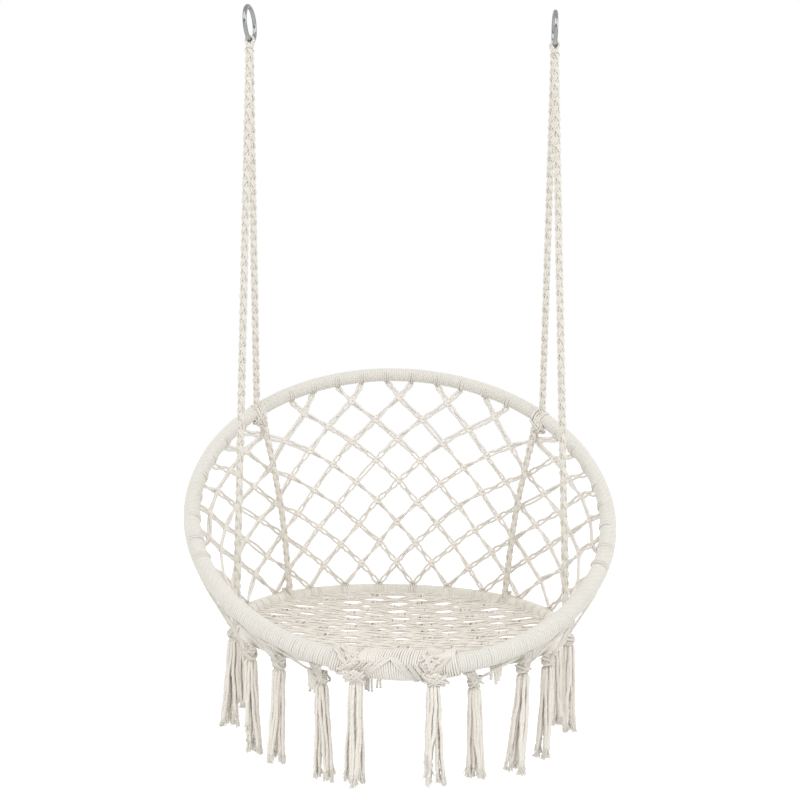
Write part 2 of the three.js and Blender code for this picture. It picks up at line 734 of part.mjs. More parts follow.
const hungKnots = [];
tasselShares.forEach((tassel, i) => {
  const number = i + 1;
  const lean = new THREE.Euler(0, 0, tassel.angle * degrees);
  let knotFoot;
  if (tassel.on === 'lashing') {
    const backAngle = Math.asin(seatHoop.radius / backHoop.radius
      * Math.sin(tassel.angle * degrees)) / degrees;
    const face = backHoop.wrapRadius + backHoop.sagitta + lashingOuter;
    const outset = face + lashingKnotDepth * lashingKnotShare;
    const at = radialPlace(backHoop, backAngle, outset, lashingKnotSink);
    const knot = lumpGeometry(lashingKnotWidth, lashingKnotDepth, lashingKnotHeight);
    knot.rotateZ(lean.z).translate(at.x, at.y, at.z);
    addMesh(`lashing_knot_${tassel.angle < 0 ? 'left' : 'right'}`, cut(knot, lashingEnvelope), cotton);
    knotFoot = at.addScaledVector(up, -lashingKnotHeight / 2);
  } else if (tassel.on === 'rope') {
    const collar = collars[tassel.angle < 0 ? 'left' : 'right'].front;
    const reach = collar.outer * wrapFlat + gap + tasselTopRadius;
    const drop = Math.sqrt(reach ** 2 - ropeTasselOutset ** 2) - gap - tasselTopRadius;
    knotFoot = radialPlace(seatHoop, tassel.angle, ropeTasselOutset, drop);
  } else {
    const dropShare = Math.abs(tassel.angle) < nearFrontAngle ? nearFrontDropShare : 1;
    const onHoop = tassel.on === 'hoop';
    const outset = onHoop ? 0 : seatHoop.wrapRadius + knotDepth / 2 - knotInset;
    const drop = onHoop ? seatHoop.wrapRadius * wrapFlat + gap + knotHeight / 2 : knotDrop * dropShare;
    const at = radialPlace(seatHoop, tassel.angle, outset, drop);
    const knot = addMesh(`tassel_knot_${number}`, lumpGeometry(knotBreadth, knotDepth, knotHeight), cotton);
    knot.position.copy(at);
    knot.rotation.copy(lean);
    knotFoot = at.clone().addScaledVector(up, -knotHeight / 2);
    if (!onHoop) hungKnots.push({ number, at, lean, heads: tassel.heads });
  }
  const length = tasselLength * tassel.length - tasselTopRadius - knotHeight;
  const strands = addMesh(`tassel_${number}`, strandsGeometry(length), cotton);
  strands.position.copy(knotFoot).addScaledVector(up, -gap - tasselTopRadius);
  strands.rotation.copy(lean);
});

// Tassel cords: the two bunches that run from the back hoop down to one tassel's knot
function bunchGeometry(head, foot, outward) {
  const along = foot.clone().sub(head);
  const bunch = new THREE.BoxGeometry(webBreadth, webThickness, along.length());
  along.normalize();
  const across = outward.clone().cross(along).normalize();
  const turned = new THREE.Matrix4().makeBasis(across, along.clone().cross(across), along);
  return bunch.applyMatrix4(turned.setPosition(head.clone().lerp(foot, 1 / 2)));
}

for (const { number, at, lean, heads } of hungKnots) {
  const outward = at.clone().sub(seatHoop.centre).setZ(0);
  const foot = at.clone().addScaledVector(up, knotHeight * footShare);
  const bunches = heads.map((angle) => bunchGeometry(backHoop.point(angle), foot, outward));
  const knot = lumpGeometry(knotBreadth, knotDepth, knotHeight, gap);
  knot.rotateZ(lean.z).translate(at.x, at.y, at.z);
  addMesh(`tassel_cords_${number}`, cut(join(...bunches), knot,
    backHoop.envelope(gap), seatHoop.envelope(gap), lashingEnvelope), cotton);
}

export default chair;
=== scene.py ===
import math

import bpy
import numpy as np
from mathutils import Matrix, Vector


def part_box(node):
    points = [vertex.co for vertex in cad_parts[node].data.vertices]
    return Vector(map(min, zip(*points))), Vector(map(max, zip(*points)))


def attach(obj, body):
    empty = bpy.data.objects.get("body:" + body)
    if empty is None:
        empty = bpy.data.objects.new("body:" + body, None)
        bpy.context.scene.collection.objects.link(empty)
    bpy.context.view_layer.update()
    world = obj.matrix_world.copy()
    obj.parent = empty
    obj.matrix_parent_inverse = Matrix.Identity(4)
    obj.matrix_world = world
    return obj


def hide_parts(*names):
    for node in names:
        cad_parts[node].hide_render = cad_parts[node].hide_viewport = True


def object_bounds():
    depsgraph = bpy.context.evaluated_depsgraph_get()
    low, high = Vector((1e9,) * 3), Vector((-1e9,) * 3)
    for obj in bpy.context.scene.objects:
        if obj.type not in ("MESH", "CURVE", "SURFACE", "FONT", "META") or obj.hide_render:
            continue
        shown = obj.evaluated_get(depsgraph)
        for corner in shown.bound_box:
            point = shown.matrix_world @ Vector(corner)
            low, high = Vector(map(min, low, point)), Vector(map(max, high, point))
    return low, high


# Hanging macrame chair: cord-wound hoops, knotted nets, braided ropes and a fringe.
# Metres; +Y is the back, +Z up, left is -X. Lengths in the dictionaries are in millimetres.

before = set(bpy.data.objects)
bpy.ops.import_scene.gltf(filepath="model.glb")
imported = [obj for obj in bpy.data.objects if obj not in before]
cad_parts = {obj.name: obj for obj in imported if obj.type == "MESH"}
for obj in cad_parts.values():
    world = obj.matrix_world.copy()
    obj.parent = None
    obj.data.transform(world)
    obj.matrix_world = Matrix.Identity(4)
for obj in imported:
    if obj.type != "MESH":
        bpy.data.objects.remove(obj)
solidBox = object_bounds()
mm = 0.001
dice = np.random.default_rng(seed=11)
sides = {"left": -1, "right": 1}
up = np.array([0.0, 0.0, 1.0])
level = np.array([1.0, 1.0, 0.0])
ahead = np.array([0.0, -1.0, 0.0])
print("frame loaded,", len(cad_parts), "nodes")


def unit(v):
    return v / np.linalg.norm(v, axis=-1, keepdims=True)


def lerp(a, b, t):
    return a + (b - a) * t


def centred(count):  # places one apart, with their middle at zero
    return np.arange(count) - (count - 1) / 2


def circle(count):  # angles all round, in a column
    return np.linspace(0, 2 * math.pi, count, endpoint=False)[:, None]


def alternate(k):
    return 1 if k % 2 else -1


def inColumns(rows):
    return [np.array(column) for column in zip(*rows)]


def stepsOf(path):
    return np.linalg.norm(np.diff(path, axis=0), axis=1)


def boxOf(node):
    low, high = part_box(node)
    return np.array(low), np.array(high)


def nodePoints(node):
    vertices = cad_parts[node].data.vertices
    flat = np.empty(3 * len(vertices))
    vertices.foreach_get("co", flat)
    return np.unique(flat.reshape(-1, 3).round(6), axis=0)


def square(direction, tangent):  # the part of a direction that is at right angles to a tangent
    return unit(direction - (direction * tangent).sum(-1, keepdims=True) * tangent)


def spline(points, count):
    p = np.asarray(points, float)
    if p.ndim == 2:
        p = p[None]
    last = p.shape[1] - 1
    p = np.concatenate([2 * p[:, :1] - p[:, 1:2], p, 2 * p[:, -1:] - p[:, -2:-1]], axis=1)
    t = np.linspace(0, last, count)
    i = np.minimum(t.astype(int), last - 1)
    f = (t - i)[None, :, None]
    a, b, c, d = (p[:, i + k] for k in range(4))
    return (2 * b + (c - a) * f + (2 * a - 5 * b + 4 * c - d) * f ** 2 + (3 * b - a - 3 * c + d) * f ** 3) / 2


def carried(tangents):  # normals that turn as little as they can along each path
    normals = np.empty_like(tangents)
    t = tangents[:, 0]
    helper = np.where(np.abs(t[:, 2:]) < 0.9, [[0.0, 0.0, 1.0]], [[1.0, 0.0, 0.0]])
    normals[:, 0] = square(helper, t)
    for i in range(1, tangents.shape[1]):
        normals[:, i] = square(normals[:, i - 1], tangents[:, i])
    return normals


def placed(name, data):
    made = bpy.data.objects.new(name, data)
    bpy.context.scene.collection.objects.link(made)
    return made


# Cords: many paths of as many points, each swept with a small section
class Yarn:
    stepsPerLay = 7  # the fewest steps of a path in one turn of its twist

    def __init__(self):
        self.points, self.quads, self.tris, self.quadUvs, self.triUvs, self.tints = ([] for _ in range(6))
        self.count = 0

    def lay(self, paths, radius, sides=6, normals=None, closed=False, lobes=0, depth=0.0, lay=0.0, flat=1.0,
            tint=None):
        paths = np.asarray(paths, float)
        if paths.ndim == 2:
            paths = paths[None]
        n, m, _ = paths.shape
        if closed:
            tangents = unit(np.roll(paths, -1, axis=1) - np.roll(paths, 1, axis=1))
        else:
            tangents = unit(np.gradient(paths, axis=1))
        if normals is None:
            normals = carried(tangents)
        else:
            normals = square(np.broadcast_to(normals, paths.shape), tangents)
        across = np.cross(tangents, normals)
        steps = np.linalg.norm(np.roll(paths, -1, axis=1) - paths, axis=-1)
        lay = lay and max(lay, self.stepsPerLay * float(steps[:, :-1].mean()))
        along = np.concatenate([np.zeros((n, 1)), np.cumsum(steps, axis=1)], axis=1)
        u = np.arange(sides) / sides
        turn = 2 * math.pi * u
        size = np.broadcast_to(np.asarray(radius, float), (n, m))[..., None]
        size = size * (1 + depth * np.cos(lobes * turn))
        spin = turn + (2 * math.pi / lay * along[:, :m, None] if lay else 0)
        ring = (paths[:, :, None] + normals[:, :, None] * (size * np.cos(spin))[..., None]
                + across[:, :, None] * (size * np.sin(spin))[..., None] * flat)
        index = self.count + np.arange(n * m * sides).reshape(n, m, sides)
        self.points.append(ring.reshape(-1, 3))
        nextRing = np.roll(index, -1, axis=1) if closed else index[:, 1:]
        thisRing = index if closed else index[:, :-1]
        quad = np.stack([thisRing, np.roll(thisRing, -1, 2), np.roll(nextRing, -1, 2), nextRing], -1)
        self.quads.append(quad.reshape(-1, 4))
        rows = m if closed else m - 1
        start, end = (np.broadcast_to(along[:, k:rows + k, None], (n, rows, sides)) for k in (0, 1))
        left = np.broadcast_to(u, (n, rows, sides)) + (start / lay if lay else 0)
        right = left + 1 / sides
        self.quadUvs.append(np.stack([left, start, right, start, right, end, left, end], -1).reshape(-1, 8))
        if tint is None:
            tint = dice.uniform(-1, 1, n)
        shade = np.broadcast_to(np.reshape(tint, (-1, 1)) if np.ndim(tint) < 2 else tint, (n, m))
        self.tints.append(np.repeat(shade.ravel(), sides))
        self.count += n * m * sides
        if not closed:
            for end, reach in ((0, -0.5), (-1, 0.5)):
                tips = paths[:, end] + tangents[:, end] * size[:, end].mean(-1, keepdims=True) * reach
                self.close(tips, index[:, end], shade[:, end], end == 0)
        return self

    def layPlied(self, paths, cord, lay=14.0, depth=0.1, sides=7, **more):  # in millimetres
        return self.lay(paths, cord * mm, sides, lobes=3, depth=depth, lay=lay * mm, **more)

    def close(self, tips, ring, shade, first):  # a low cone over an end
        n, sides = ring.shape
        tip = np.broadcast_to(self.count + np.arange(n)[:, None], (n, sides))
        self.points.append(tips)
        following = np.roll(ring, -1, 1)
        corners = [tip, following, ring] if first else [tip, ring, following]
        self.tris.append(np.stack(corners, -1).reshape(-1, 3))
        self.triUvs.append(np.zeros((n * sides, 6)))
        self.tints.append(shade)
        self.count += n

    def build(self, node, ending, finish, body="chair", slot="cotton"):
        points = np.concatenate(self.points)
        quads = np.concatenate(self.quads)
        tris = np.concatenate(self.tris) if self.tris else np.zeros((0, 3), int)
        corners = np.concatenate([quads.ravel(), tris.ravel()])
        starts = np.concatenate([np.arange(len(quads)) * 4, len(quads) * 4 + np.arange(len(tris)) * 3])
        name = f"{node}_{ending}"
        mesh = bpy.data.meshes.new(name)
        mesh.vertices.add(len(points))
        mesh.vertices.foreach_set("co", points.astype(np.float32).ravel())
        mesh.loops.add(len(corners))
        mesh.loops.foreach_set("vertex_index", corners.astype(np.int32))
        mesh.polygons.add(len(starts))
        mesh.polygons.foreach_set("loop_start", starts.astype(np.int32))
        uvs = np.concatenate([np.concatenate(self.quadUvs).ravel()] + [t.ravel() for t in self.triUvs])
        mesh.uv_layers.new(name="cord").data.foreach_set("uv", uvs.astype(np.float32))
        tints = mesh.attributes.new("tint", "FLOAT", "POINT")
        tints.data.foreach_set("value", np.concatenate(self.tints).astype(np.float32))
        mesh.update(calc_edges=True)
        mesh.shade_smooth()
        mesh.materials.append(finish)
        piece = placed(name, mesh)
        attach(piece, body)
        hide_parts(node)
        print(name, len(quads) * 2 + len(tris), "triangles")
        return piece


# Shader maths: a wrapped socket, and a finish that holds one material's nodes
class Wire:
    def __init__(self, tree, socket):
        self.tree, self.socket = tree, socket

    def maths(self, operation, *values):
        node = self.tree.nodes.new("ShaderNodeMath")
        node.operation = operation
        for place, value in enumerate(values):
            if isinstance(value, Wire):
                self.tree.links.new(value.socket, node.inputs[place])
            else:
                node.inputs[place].default_value = value
        return Wire(self.tree, node.outputs[0])

    def sine(self):
        return self.maths("SINE", self)

    def cosine(self):
        return self.maths("COSINE", self)

    def atLeast(self, least):
        return self.maths("MAXIMUM", self, least)

    def atMost(self, most):
        return self.maths("MINIMUM", self, most)


def overload(operator, operation):  # an operator and its reflected form
    setattr(Wire, f"__{operator}__", lambda self, other: self.maths(operation, self, other))
    setattr(Wire, f"__r{operator}__", lambda self, other: self.maths(operation, other, self))


for operator, operation in {"add": "ADD", "sub": "SUBTRACT", "mul": "MULTIPLY", "truediv": "DIVIDE",
                            "pow": "POWER"}.items():
    overload(operator, operation)


class Nodes:
    def __init__(self, tree):
        self.tree = tree

    def feed(self, socket, value):
        if isinstance(value, Wire):
            self.tree.links.new(value.socket, socket)
        else:
            socket.default_value = value

    def node(self, kind, settings=None, inputs=None, output=0):
        made = self.tree.nodes.new("ShaderNode" + kind)
        for key, value in (settings or {}).items():
            if key == "stops":
                stops = made.color_ramp.elements
                for place, (position, colour) in enumerate(value):
                    stop = stops[place] if place < 2 else stops.new(position)
                    stop.position, stop.color = position, (*colour, 1)
            else:
                setattr(made, key, value)
        for key, value in (inputs or {}).items():
            self.feed(made.inputs[key], value)
        return Wire(self.tree, made.outputs[output])

    def mixed(self, share, first, second):
        first, second = (value if isinstance(value, Wire) else (*value, 1) for value in (first, second))
        return self.node("Mix", {"data_type": "RGBA"}, {0: share, 6: first, 7: second}, output=2)

    def noise(self, vector, scale, detail=2.0, roughness=0.5):
        return self.node("TexNoise", inputs={"Vector": vector, "Scale": scale, "Detail": detail,
                                             "Roughness": roughness}, output="Fac")

    def bump(self, strength, depth, height):
        return self.node("Bump", inputs={"Strength": strength, "Distance": depth * mm, "Height": height})


class Finish(Nodes):
    def __init__(self, name, constants):
        self.material = bpy.data.materials.new(name)
        self.material.use_nodes = True
        super().__init__(self.material.node_tree)
        self.shader = self.tree.nodes["Principled BSDF"]
        for key, value in constants.items():
            self.shader.inputs[key].default_value = value

    def set(self, **links):
        for key, value in links.items():
            self.feed(self.shader.inputs[key.replace("_", " ")], value)
        return self.material


# Cotton cord. The map's first number runs round the cord from its outer side, the second along it.
# The darkest colour in these looks is painted shade, laid in the ply grooves and on the sides of each cord.
cottonLooks = {"light": (0.9, 0.871, 0.81), "shade": (0.83, 0.793, 0.72), "paintedShade": (0.5, 0.42, 0.32),
               "plies": 3, "lay": 11.0, "grooveShadeShare": 0.14, "creasePower": 1.5, "flankShadeShare": 0.06,
               "flankStart": 0.75, "flankSlope": 2, "bumpDepth": 0.28, "bumpStrength": 0.75, "sheen": 0.15,
               "roughness": 0.86, "roughnessWander": 0.16, "tone": 0.42, "tintShare": 0.22,
               "noises": {"patch": (14.0, 2.0), "strand": (260.0, 2.0), "fibre": (1400.0, 3.0, 0.7)},
               "toneShares": {"patch": 0.9, "strand": 1.1, "fibre": 0.8},
               "heightShares": {"ply": 0.5, "fibre": 0.9, "strand": 0.6}}


def cottonFinish(name, looks):
    made = Finish(name, {"Specular IOR Level": 0.25, "Sheen Weight": looks["sheen"], "Sheen Roughness": 0.5})
    place = made.node("UVMap", {"uv_map": "cord"}, output="UV")
    around, along = (made.node("SeparateXYZ", inputs={0: place}, output=k) for k in (0, 1))
    here = made.node("TexCoord", output="Object")
    ply = ((around * looks["plies"] + along / (looks["lay"] * mm)) * (2 * math.pi)).sine()
    # Painted shade: the ply grooves are darkened towards the darkest colour.
    grooveShade = (0 - ply).atLeast(0) ** looks["creasePower"]
    uneven = {key: made.noise(here, *noise) - 0.5 for key, noise in looks["noises"].items()}
    tint = made.node("Attribute", {"attribute_name": "tint"}, output="Fac")
    tone = looks["tone"] + tint * looks["tintShare"]
    for key, share in looks["toneShares"].items():
        tone = tone + uneven[key] * share
    colour = made.mixed(tone.atLeast(0).atMost(1), looks["shade"], looks["light"])
    colour = made.mixed(grooveShade * looks["grooveShadeShare"], colour, looks["paintedShade"])
    # Painted shade: each cord's sides and underside are darkened towards the same colour, away from its outer
    # side.
    flankShade = (looks["flankStart"] - (around * (2 * math.pi)).cosine()) * looks["flankSlope"]
    colour = made.mixed(flankShade.atLeast(0).atMost(1) * looks["flankShadeShare"], colour, looks["paintedShade"])
    height = sum({**uneven, "ply": ply}[key] * share for key, share in looks["heightShares"].items())
    return made.set(Base_Color=colour, Normal=made.bump(looks["bumpStrength"], looks["bumpDepth"], height),
                    Roughness=looks["roughness"] + uneven["fibre"] * looks["roughnessWander"])


cotton = cottonFinish("cotton_cord", cottonLooks)
# Copies of the cotton for single parts, with their own bumps and flank shade. Their tones are partly painted
# light: the tassel copy is lighter against the shade the tassels hang in, and the hoop copy is darker against
# the key lamp.
otherCottons = {
    "hoop": {"light": (0.848, 0.833, 0.786), "shade": (0.794, 0.774, 0.719), "flankShadeShare": 0.26,
             "bumpDepth": 0.1},
    "wound": {"light": (0.91, 0.883, 0.83), "shade": (0.84, 0.808, 0.746), "flankShadeShare": 0.34,
              "bumpDepth": 0.15},
    "seat": {"light": (0.9, 0.872, 0.82), "shade": (0.81, 0.777, 0.713), "flankShadeShare": 0.42,
             "bumpDepth": 0.15},
    "net": {"light": (0.94, 0.904, 0.85), "shade": (0.88, 0.842, 0.78), "grooveShadeShare": 0.04,
            "flankShadeShare": 0.03, "bumpDepth": 0.06},
    "tassel": {"light": (0.95, 0.912, 0.848), "shade": (0.89, 0.846, 0.768), "grooveShadeShare": 0.07,
               "flankShadeShare": 0.03, "bumpDepth": 0.12},
    "shaded": {"light": (0.9, 0.868, 0.81), "shade": (0.83, 0.79, 0.715)},
    "tips": {"light": (0.95, 0.92, 0.87), "shade": (0.89, 0.85, 0.78), "grooveShadeShare": 0.06, "lay": 6.0},
    # The thread copy is dark brown. It colours the eye bindings' thread, and also the painted shade in the
    # hitch slits and in the seat knots.
    "thread": {"light": (0.42, 0.34, 0.26), "shade": (0.3, 0.24, 0.18)}}
hoopCotton, woundCotton, seatCotton, netCotton, tasselCotton, shadedCotton, paleTips, threadAndPaintedShade = (
    cottonFinish(f"{name}_cotton", {**cottonLooks, **looks}) for name, looks in otherCottons.items())

chromeLooks = {"colour": (0.72, 0.73, 0.74), "darker": 0.8, "clean": 0.3, "scratches": 0.05, "smooth": 0.12,
               "fine": 900.0, "broad": 60.0, "bumpStrength": 0.1, "bumpDepth": 0.05}


def chromeFinish(looks):
    made = Finish("ring_chrome", {"Metallic": 1.0})
    here = made.node("TexCoord", output="Object")
    fine, broad = (made.noise(here, looks[key]) for key in ("fine", "broad"))
    darker = tuple(looks["darker"] * c for c in looks["colour"])
    return made.set(Base_Color=made.mixed((broad - looks["clean"]).atLeast(0), looks["colour"], darker),
                    Roughness=looks["smooth"] + fine * looks["scratches"],
                    Normal=made.bump(looks["bumpStrength"], looks["bumpDepth"], fine))


tubeLooks = {"paint": (0.055, 0.058, 0.062), "worn": (0.16, 0.165, 0.17), "wear": (40.0, 4.0, 0.7),
             "wearStart": 0.55, "wearSlope": 4, "grain": (700.0, 3.0), "roughness": 0.42,
             "roughnessWander": 0.2, "bumpStrength": 0.3, "bumpDepth": 0.1}


def tubeFinish(looks):
    made = Finish("hoop_tube_paint", {"Metallic": 0.4, "Coat Weight": 0.2})
    here = made.node("TexCoord", output="Object")
    grain, wear = (made.noise(here, *looks[key]) for key in ("grain", "wear"))
    worn = ((wear - looks["wearStart"]) * looks["wearSlope"]).atLeast(0).atMost(1)
    return made.set(Base_Color=made.mixed(worn, looks["paint"], looks["worn"]),
                    Roughness=looks["roughness"] + (grain - 0.5) * looks["roughnessWander"],
                    Normal=made.bump(looks["bumpStrength"], looks["bumpDepth"], grain))


chrome = chromeFinish(chromeLooks)
tubePaint = tubeFinish(tubeLooks)
for node in ("back_hoop_tube", "seat_hoop_tube"):
    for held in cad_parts[node].material_slots:
        held.material = tubePaint
print("finishes made")

# Camera: level, at the photograph's height and distance, with its slight turn and roll
cameraPlan = {"at": (-52.8, -1648.9, -731.0), "turn": 0.0304, "roll": 0.0045, "lens": 39.33, "sensor": 36.0,
              "clip": (20.0, 60000.0)}


def placeCamera(plan):
    data = bpy.data.cameras.new("camera")
    data.lens, data.sensor_width = plan["lens"], plan["sensor"]
    data.clip_start, data.clip_end = (c * mm for c in plan["clip"])
    camera = placed("camera", data)
    view = Vector((math.sin(plan["turn"]), math.cos(plan["turn"]), 0.0)).to_track_quat("-Z", "Y").to_matrix()
    camera.rotation_mode = "QUATERNION"
    camera.rotation_quaternion = (view @ Matrix.Rotation(plan["roll"], 3, "Z")).to_quaternion()
    camera.location = [c * mm for c in plan["at"]]
    bpy.context.scene.camera = camera


placeCamera(cameraPlan)
print("camera placed")


# Hoops, read from their windings. 0 degrees is the front, and angles grow to the right side.
class Hoop:
    def __init__(self, node):
        points = nodePoints(node)
        middle = points.mean(axis=0)
        axis = np.linalg.svd(points - middle)[2][2]
        self.normal = axis * np.sign(axis[2])
        self.right = unit(np.cross((0.0, 1.0, 0.0), self.normal))
        self.front = np.cross(self.right, self.normal)
        u, v = (points - middle) @ self.right, (points - middle) @ self.front
        fit = np.linalg.lstsq(np.stack([u, v, np.ones_like(u)], 1), u ** 2 + v ** 2, rcond=None)[0] / 2
        self.centre = middle + fit[0] * self.right + fit[1] * self.front
        reach = np.hypot(u - fit[0], v - fit[1])
        self.radius = (reach.max() + reach.min()) / 2
        self.wrap = (reach.max() - reach.min()) / 2
        print(node, self.centre.round(4), round(self.radius, 4), round(self.wrap, 4))

    def spoke(self, angle):
        a = np.radians(np.asarray(angle, float))[..., None]
        return np.sin(a) * self.right + np.cos(a) * self.front

    def point(self, angle):
        return self.centre + self.radius * self.spoke(angle)

    def tangent(self, angle):
        a = np.radians(np.asarray(angle, float))[..., None]
        return np.cos(a) * self.right - np.sin(a) * self.front

    def around(self, angle, turn, distance):  # a place round the tube; a turn of 0 is outward and 90 is up
        t = np.radians(np.asarray(turn, float))[..., None]
        return self.point(angle) + (np.cos(t) * self.spoke(angle) + np.sin(t) * self.normal) * distance

    def step(self, length):  # degrees along the hoop for a length
        return np.degrees(length / self.radius)

    def angleAt(self, across):  # degrees of the front half's place that far across the chair
        return np.degrees(np.arcsin(across / self.radius))


backHoop = Hoop("back_hoop_wrap")
seatHoop = Hoop("seat_hoop_wrap")

# The back net's rows and columns. Columns fan out from the back, and rows grow at both ends.
netPlan = {"rows": 9, "topColumn": 3, "sideColumn": 5.5, "columnTurn": 16.9, "footShares": (0.85, 0.275),
           "topRoom": 50.0, "footRoom": 62.0, "hitchShare": 0.25, "knotShare": 0.1, "sideShare": 0.5,
           "lowHitches": (6.5, 6.9), "cord": 2.9, "tight": 2.35, "wide": 4.7, "wobble": 1.7,
           "knots": {"size": (15.5, 13.0, 11.0), "turns": 2}, "knotCord": 1.15, "footSpacing": 1.8,
           "hitch": {"cord": 1.7, "reach": 78.0, "count": 3, "spacing": 4.1, "lift": 0.25, "lean": 0.8},
           "hitchFaces": (0.9, 0.3), "shadeSlit": {"cord": 0.65, "count": 1, "spacing": 4.2, "lift": 1.9},
           "shadeSlitOffsets": (-2.0, 2.1), "shadeSlitReach": (22.0, 34.0)}


def netTurns(column):
    turn = column * netPlan["columnTurn"]
    base, growth = netPlan["footShares"]
    return turn, turn * (base + growth * (turn / 90) ** 2)


def netLine(column):
    turn, footTurn = netTurns(column)
    head, foot = backHoop.point(180 - turn), seatHoop.point(180 - footTurn)
    return head, foot, unit(((head + foot) / 2 - seatHoop.centre) * level)


# Ropes: round braids of four strands over a core, each strand a ribbon of cords
ropePlan = {"diameter": 15.0, "pitch": 60.0, "steps": 18, "middle": 4.1, "weave": 1.6, "turn": 45.0,
            "cord": 1.5, "cords": 3, "ribbon": 2.6, "bulge": 0.5, "core": 3.2, "coreTint": -0.6,
            "pairSpacing": 16.5, "headSpacing": 0.9, "headRise": 3.0, "frontAngle": 69.5, "frontGap": 0.3,
            "rearSeat": (0.9, 0.3), "lowerTurn": 51.5, "lowerInset": 12.0, "lowerBow": 13.0, "straights": 6,
            "bends": 24}


def braid(yarn, points, facing):
    plan = ropePlan
    length = stepsOf(points).sum()
    pitch = length / max(1, round(length / (plan["pitch"] * mm)))
    count = int(length / pitch * plan["steps"]) + 1
    path = spline(points, count * 4)[0]
    travelled = np.concatenate([[0], np.cumsum(stepsOf(path))])
    s = np.linspace(0, travelled[-1], count)
    path = np.stack([np.interp(s, travelled, path[:, k]) for k in range(3)], 1)
    tangents = unit(np.gradient(path, axis=0))
    normals = square(np.broadcast_to(facing, path.shape), tangents)
    across = np.cross(tangents, normals)
    phase = 2 * math.pi * s / pitch
    radial, ribs = [], []
    for direction in (1, -1):
        for start in (0, math.pi):
            a = direction * phase + start + math.radians(plan["turn"])
            r = (plan["middle"] + direction * plan["weave"] * np.cos(2 * phase)) * mm
            outward = normals * np.cos(a)[:, None] + across * np.sin(a)[:, None]
            strand = path + outward * r[:, None]
            sideways = unit(np.cross(unit(np.gradient(strand, axis=0)), outward))
            for share in centred(plan["cords"]):
                bulge = (1 - (2 * share / plan["cords"]) ** 2) * plan["bulge"] * mm
                ribs.append(strand + sideways * share * plan["ribbon"] * mm + outward * bulge)
                radial.append(outward)
    yarn.lay(np.array(ribs), plan["cord"] * mm, 5, normals=np.array(radial))
    yarn.lay(path[::3], plan["core"] * mm, 7, tint=plan["coreTint"])
    return path


def knotAngles(side):  # where the ropes are tied: on the back hoop, and on the seat hoop's rear and side
    sign = sides[side]
    return (sign * (180 - netTurns(netPlan["topColumn"])[0]), sign * (180 - ropePlan["lowerTurn"]),
            sign * ropePlan["frontAngle"])


def lowerRoute(side):  # from the back hoop down to the seat hoop, inside the net
    rear, lower, _ = knotAngles(side)
    rearKnot, lowerKnot = backHoop.point(rear), seatHoop.point(lower)
    inward = unit((seatHoop.centre - lowerKnot) * level)
    top, foot = (p + inward * ropePlan["lowerInset"] * mm for p in (rearKnot, lowerKnot))
    return top, (top + foot) / 2 + inward * ropePlan["lowerBow"] * mm, foot


def ropeRoutes():
    plan = ropePlan
    routes = {}
    for side in sides:
        low, high = boxOf(f"eye_binding_{side}")
        head = np.array([(low[0] + high[0]) / 2, 0.0, high[2] + plan["headRise"] * mm])
        start = low[2] * up + head * level
        apart = ahead * plan["pairSpacing"] / 2 * mm
        rear, _, front = knotAngles(side)
        outward = unit((seatHoop.point(front) - seatHoop.centre) * level)
        frontEnd = seatHoop.point(front) + outward * (seatHoop.wrap + plan["frontGap"] * mm)
        rearWay = ahead * plan["rearSeat"][0] + up * plan["rearSeat"][1]
        rearEnd = backHoop.point(rear) + rearWay * backHoop.wrap
        for name, way, end in (("front", apart, frontEnd), ("rear", -apart, rearEnd)):
            straight = [lerp(start + way, end, k / plan["straights"]) for k in range(plan["straights"] + 1)]
            routes[f"{name}_rope_{side}"] = np.array([head + way * plan["headSpacing"], *straight])
        routes[f"lower_rope_{side}"] = spline(lowerRoute(side), plan["bends"])[0]
    return routes


for name, route in ropeRoutes().items():
    yarn = Yarn()
    path = braid(yarn, route, ahead)
    shaded = name.startswith("lower")
    finish, slot = (shadedCotton, "shaded_cotton") if shaded else (cotton, "cotton")
    rope = yarn.build(name, "braid", finish, slot=slot)


# Rings, turned as the solid rings are, and the eyes that hang in them
ringPlan = {"steps": 120, "sides": 20}
eyePlan = {"cord": 2.3, "sides": 9, "lay": 16.0, "depth": 0.12, "arch": 7.0, "archSteps": 9, "steps": 60,
           "layers": (-6.0, -2.0, 2.0, 6.0), "wobble": (-0.3, 0.4), "gather": (0.72, 0.1), "footDrop": 6.0,
           "legs": ((-3.0, 1.7, 1.0), (-3.2, 1.2, 0.5))}
seamPlan = {"thread": 0.35, "size": (8.6, 15.6), "drop": 2.0, "slope": 1.5, "steps": 60}


def ringPiece(side):
    node = f"hanging_ring_{side}"
    points = nodePoints(node)
    middle = (points.max(axis=0) + points.min(axis=0)) / 2
    axis = np.linalg.svd(points - points.mean(axis=0))[2][2]
    reach = np.linalg.norm(points - middle, axis=1)
    wire = (reach.max() - reach.min()) / 2
    radius = reach.max() - wire
    flatway = unit(np.cross(up, axis))
    a = circle(ringPlan["steps"])
    path = middle + radius * (np.cos(a) * flatway + np.sin(a) * up)
    yarn = Yarn().lay(path, wire, ringPlan["sides"], normals=axis, closed=True, tint=0.0)
    yarn.build(node, "wire", chrome, "rings", "ring_steel")
    return middle - up * radius


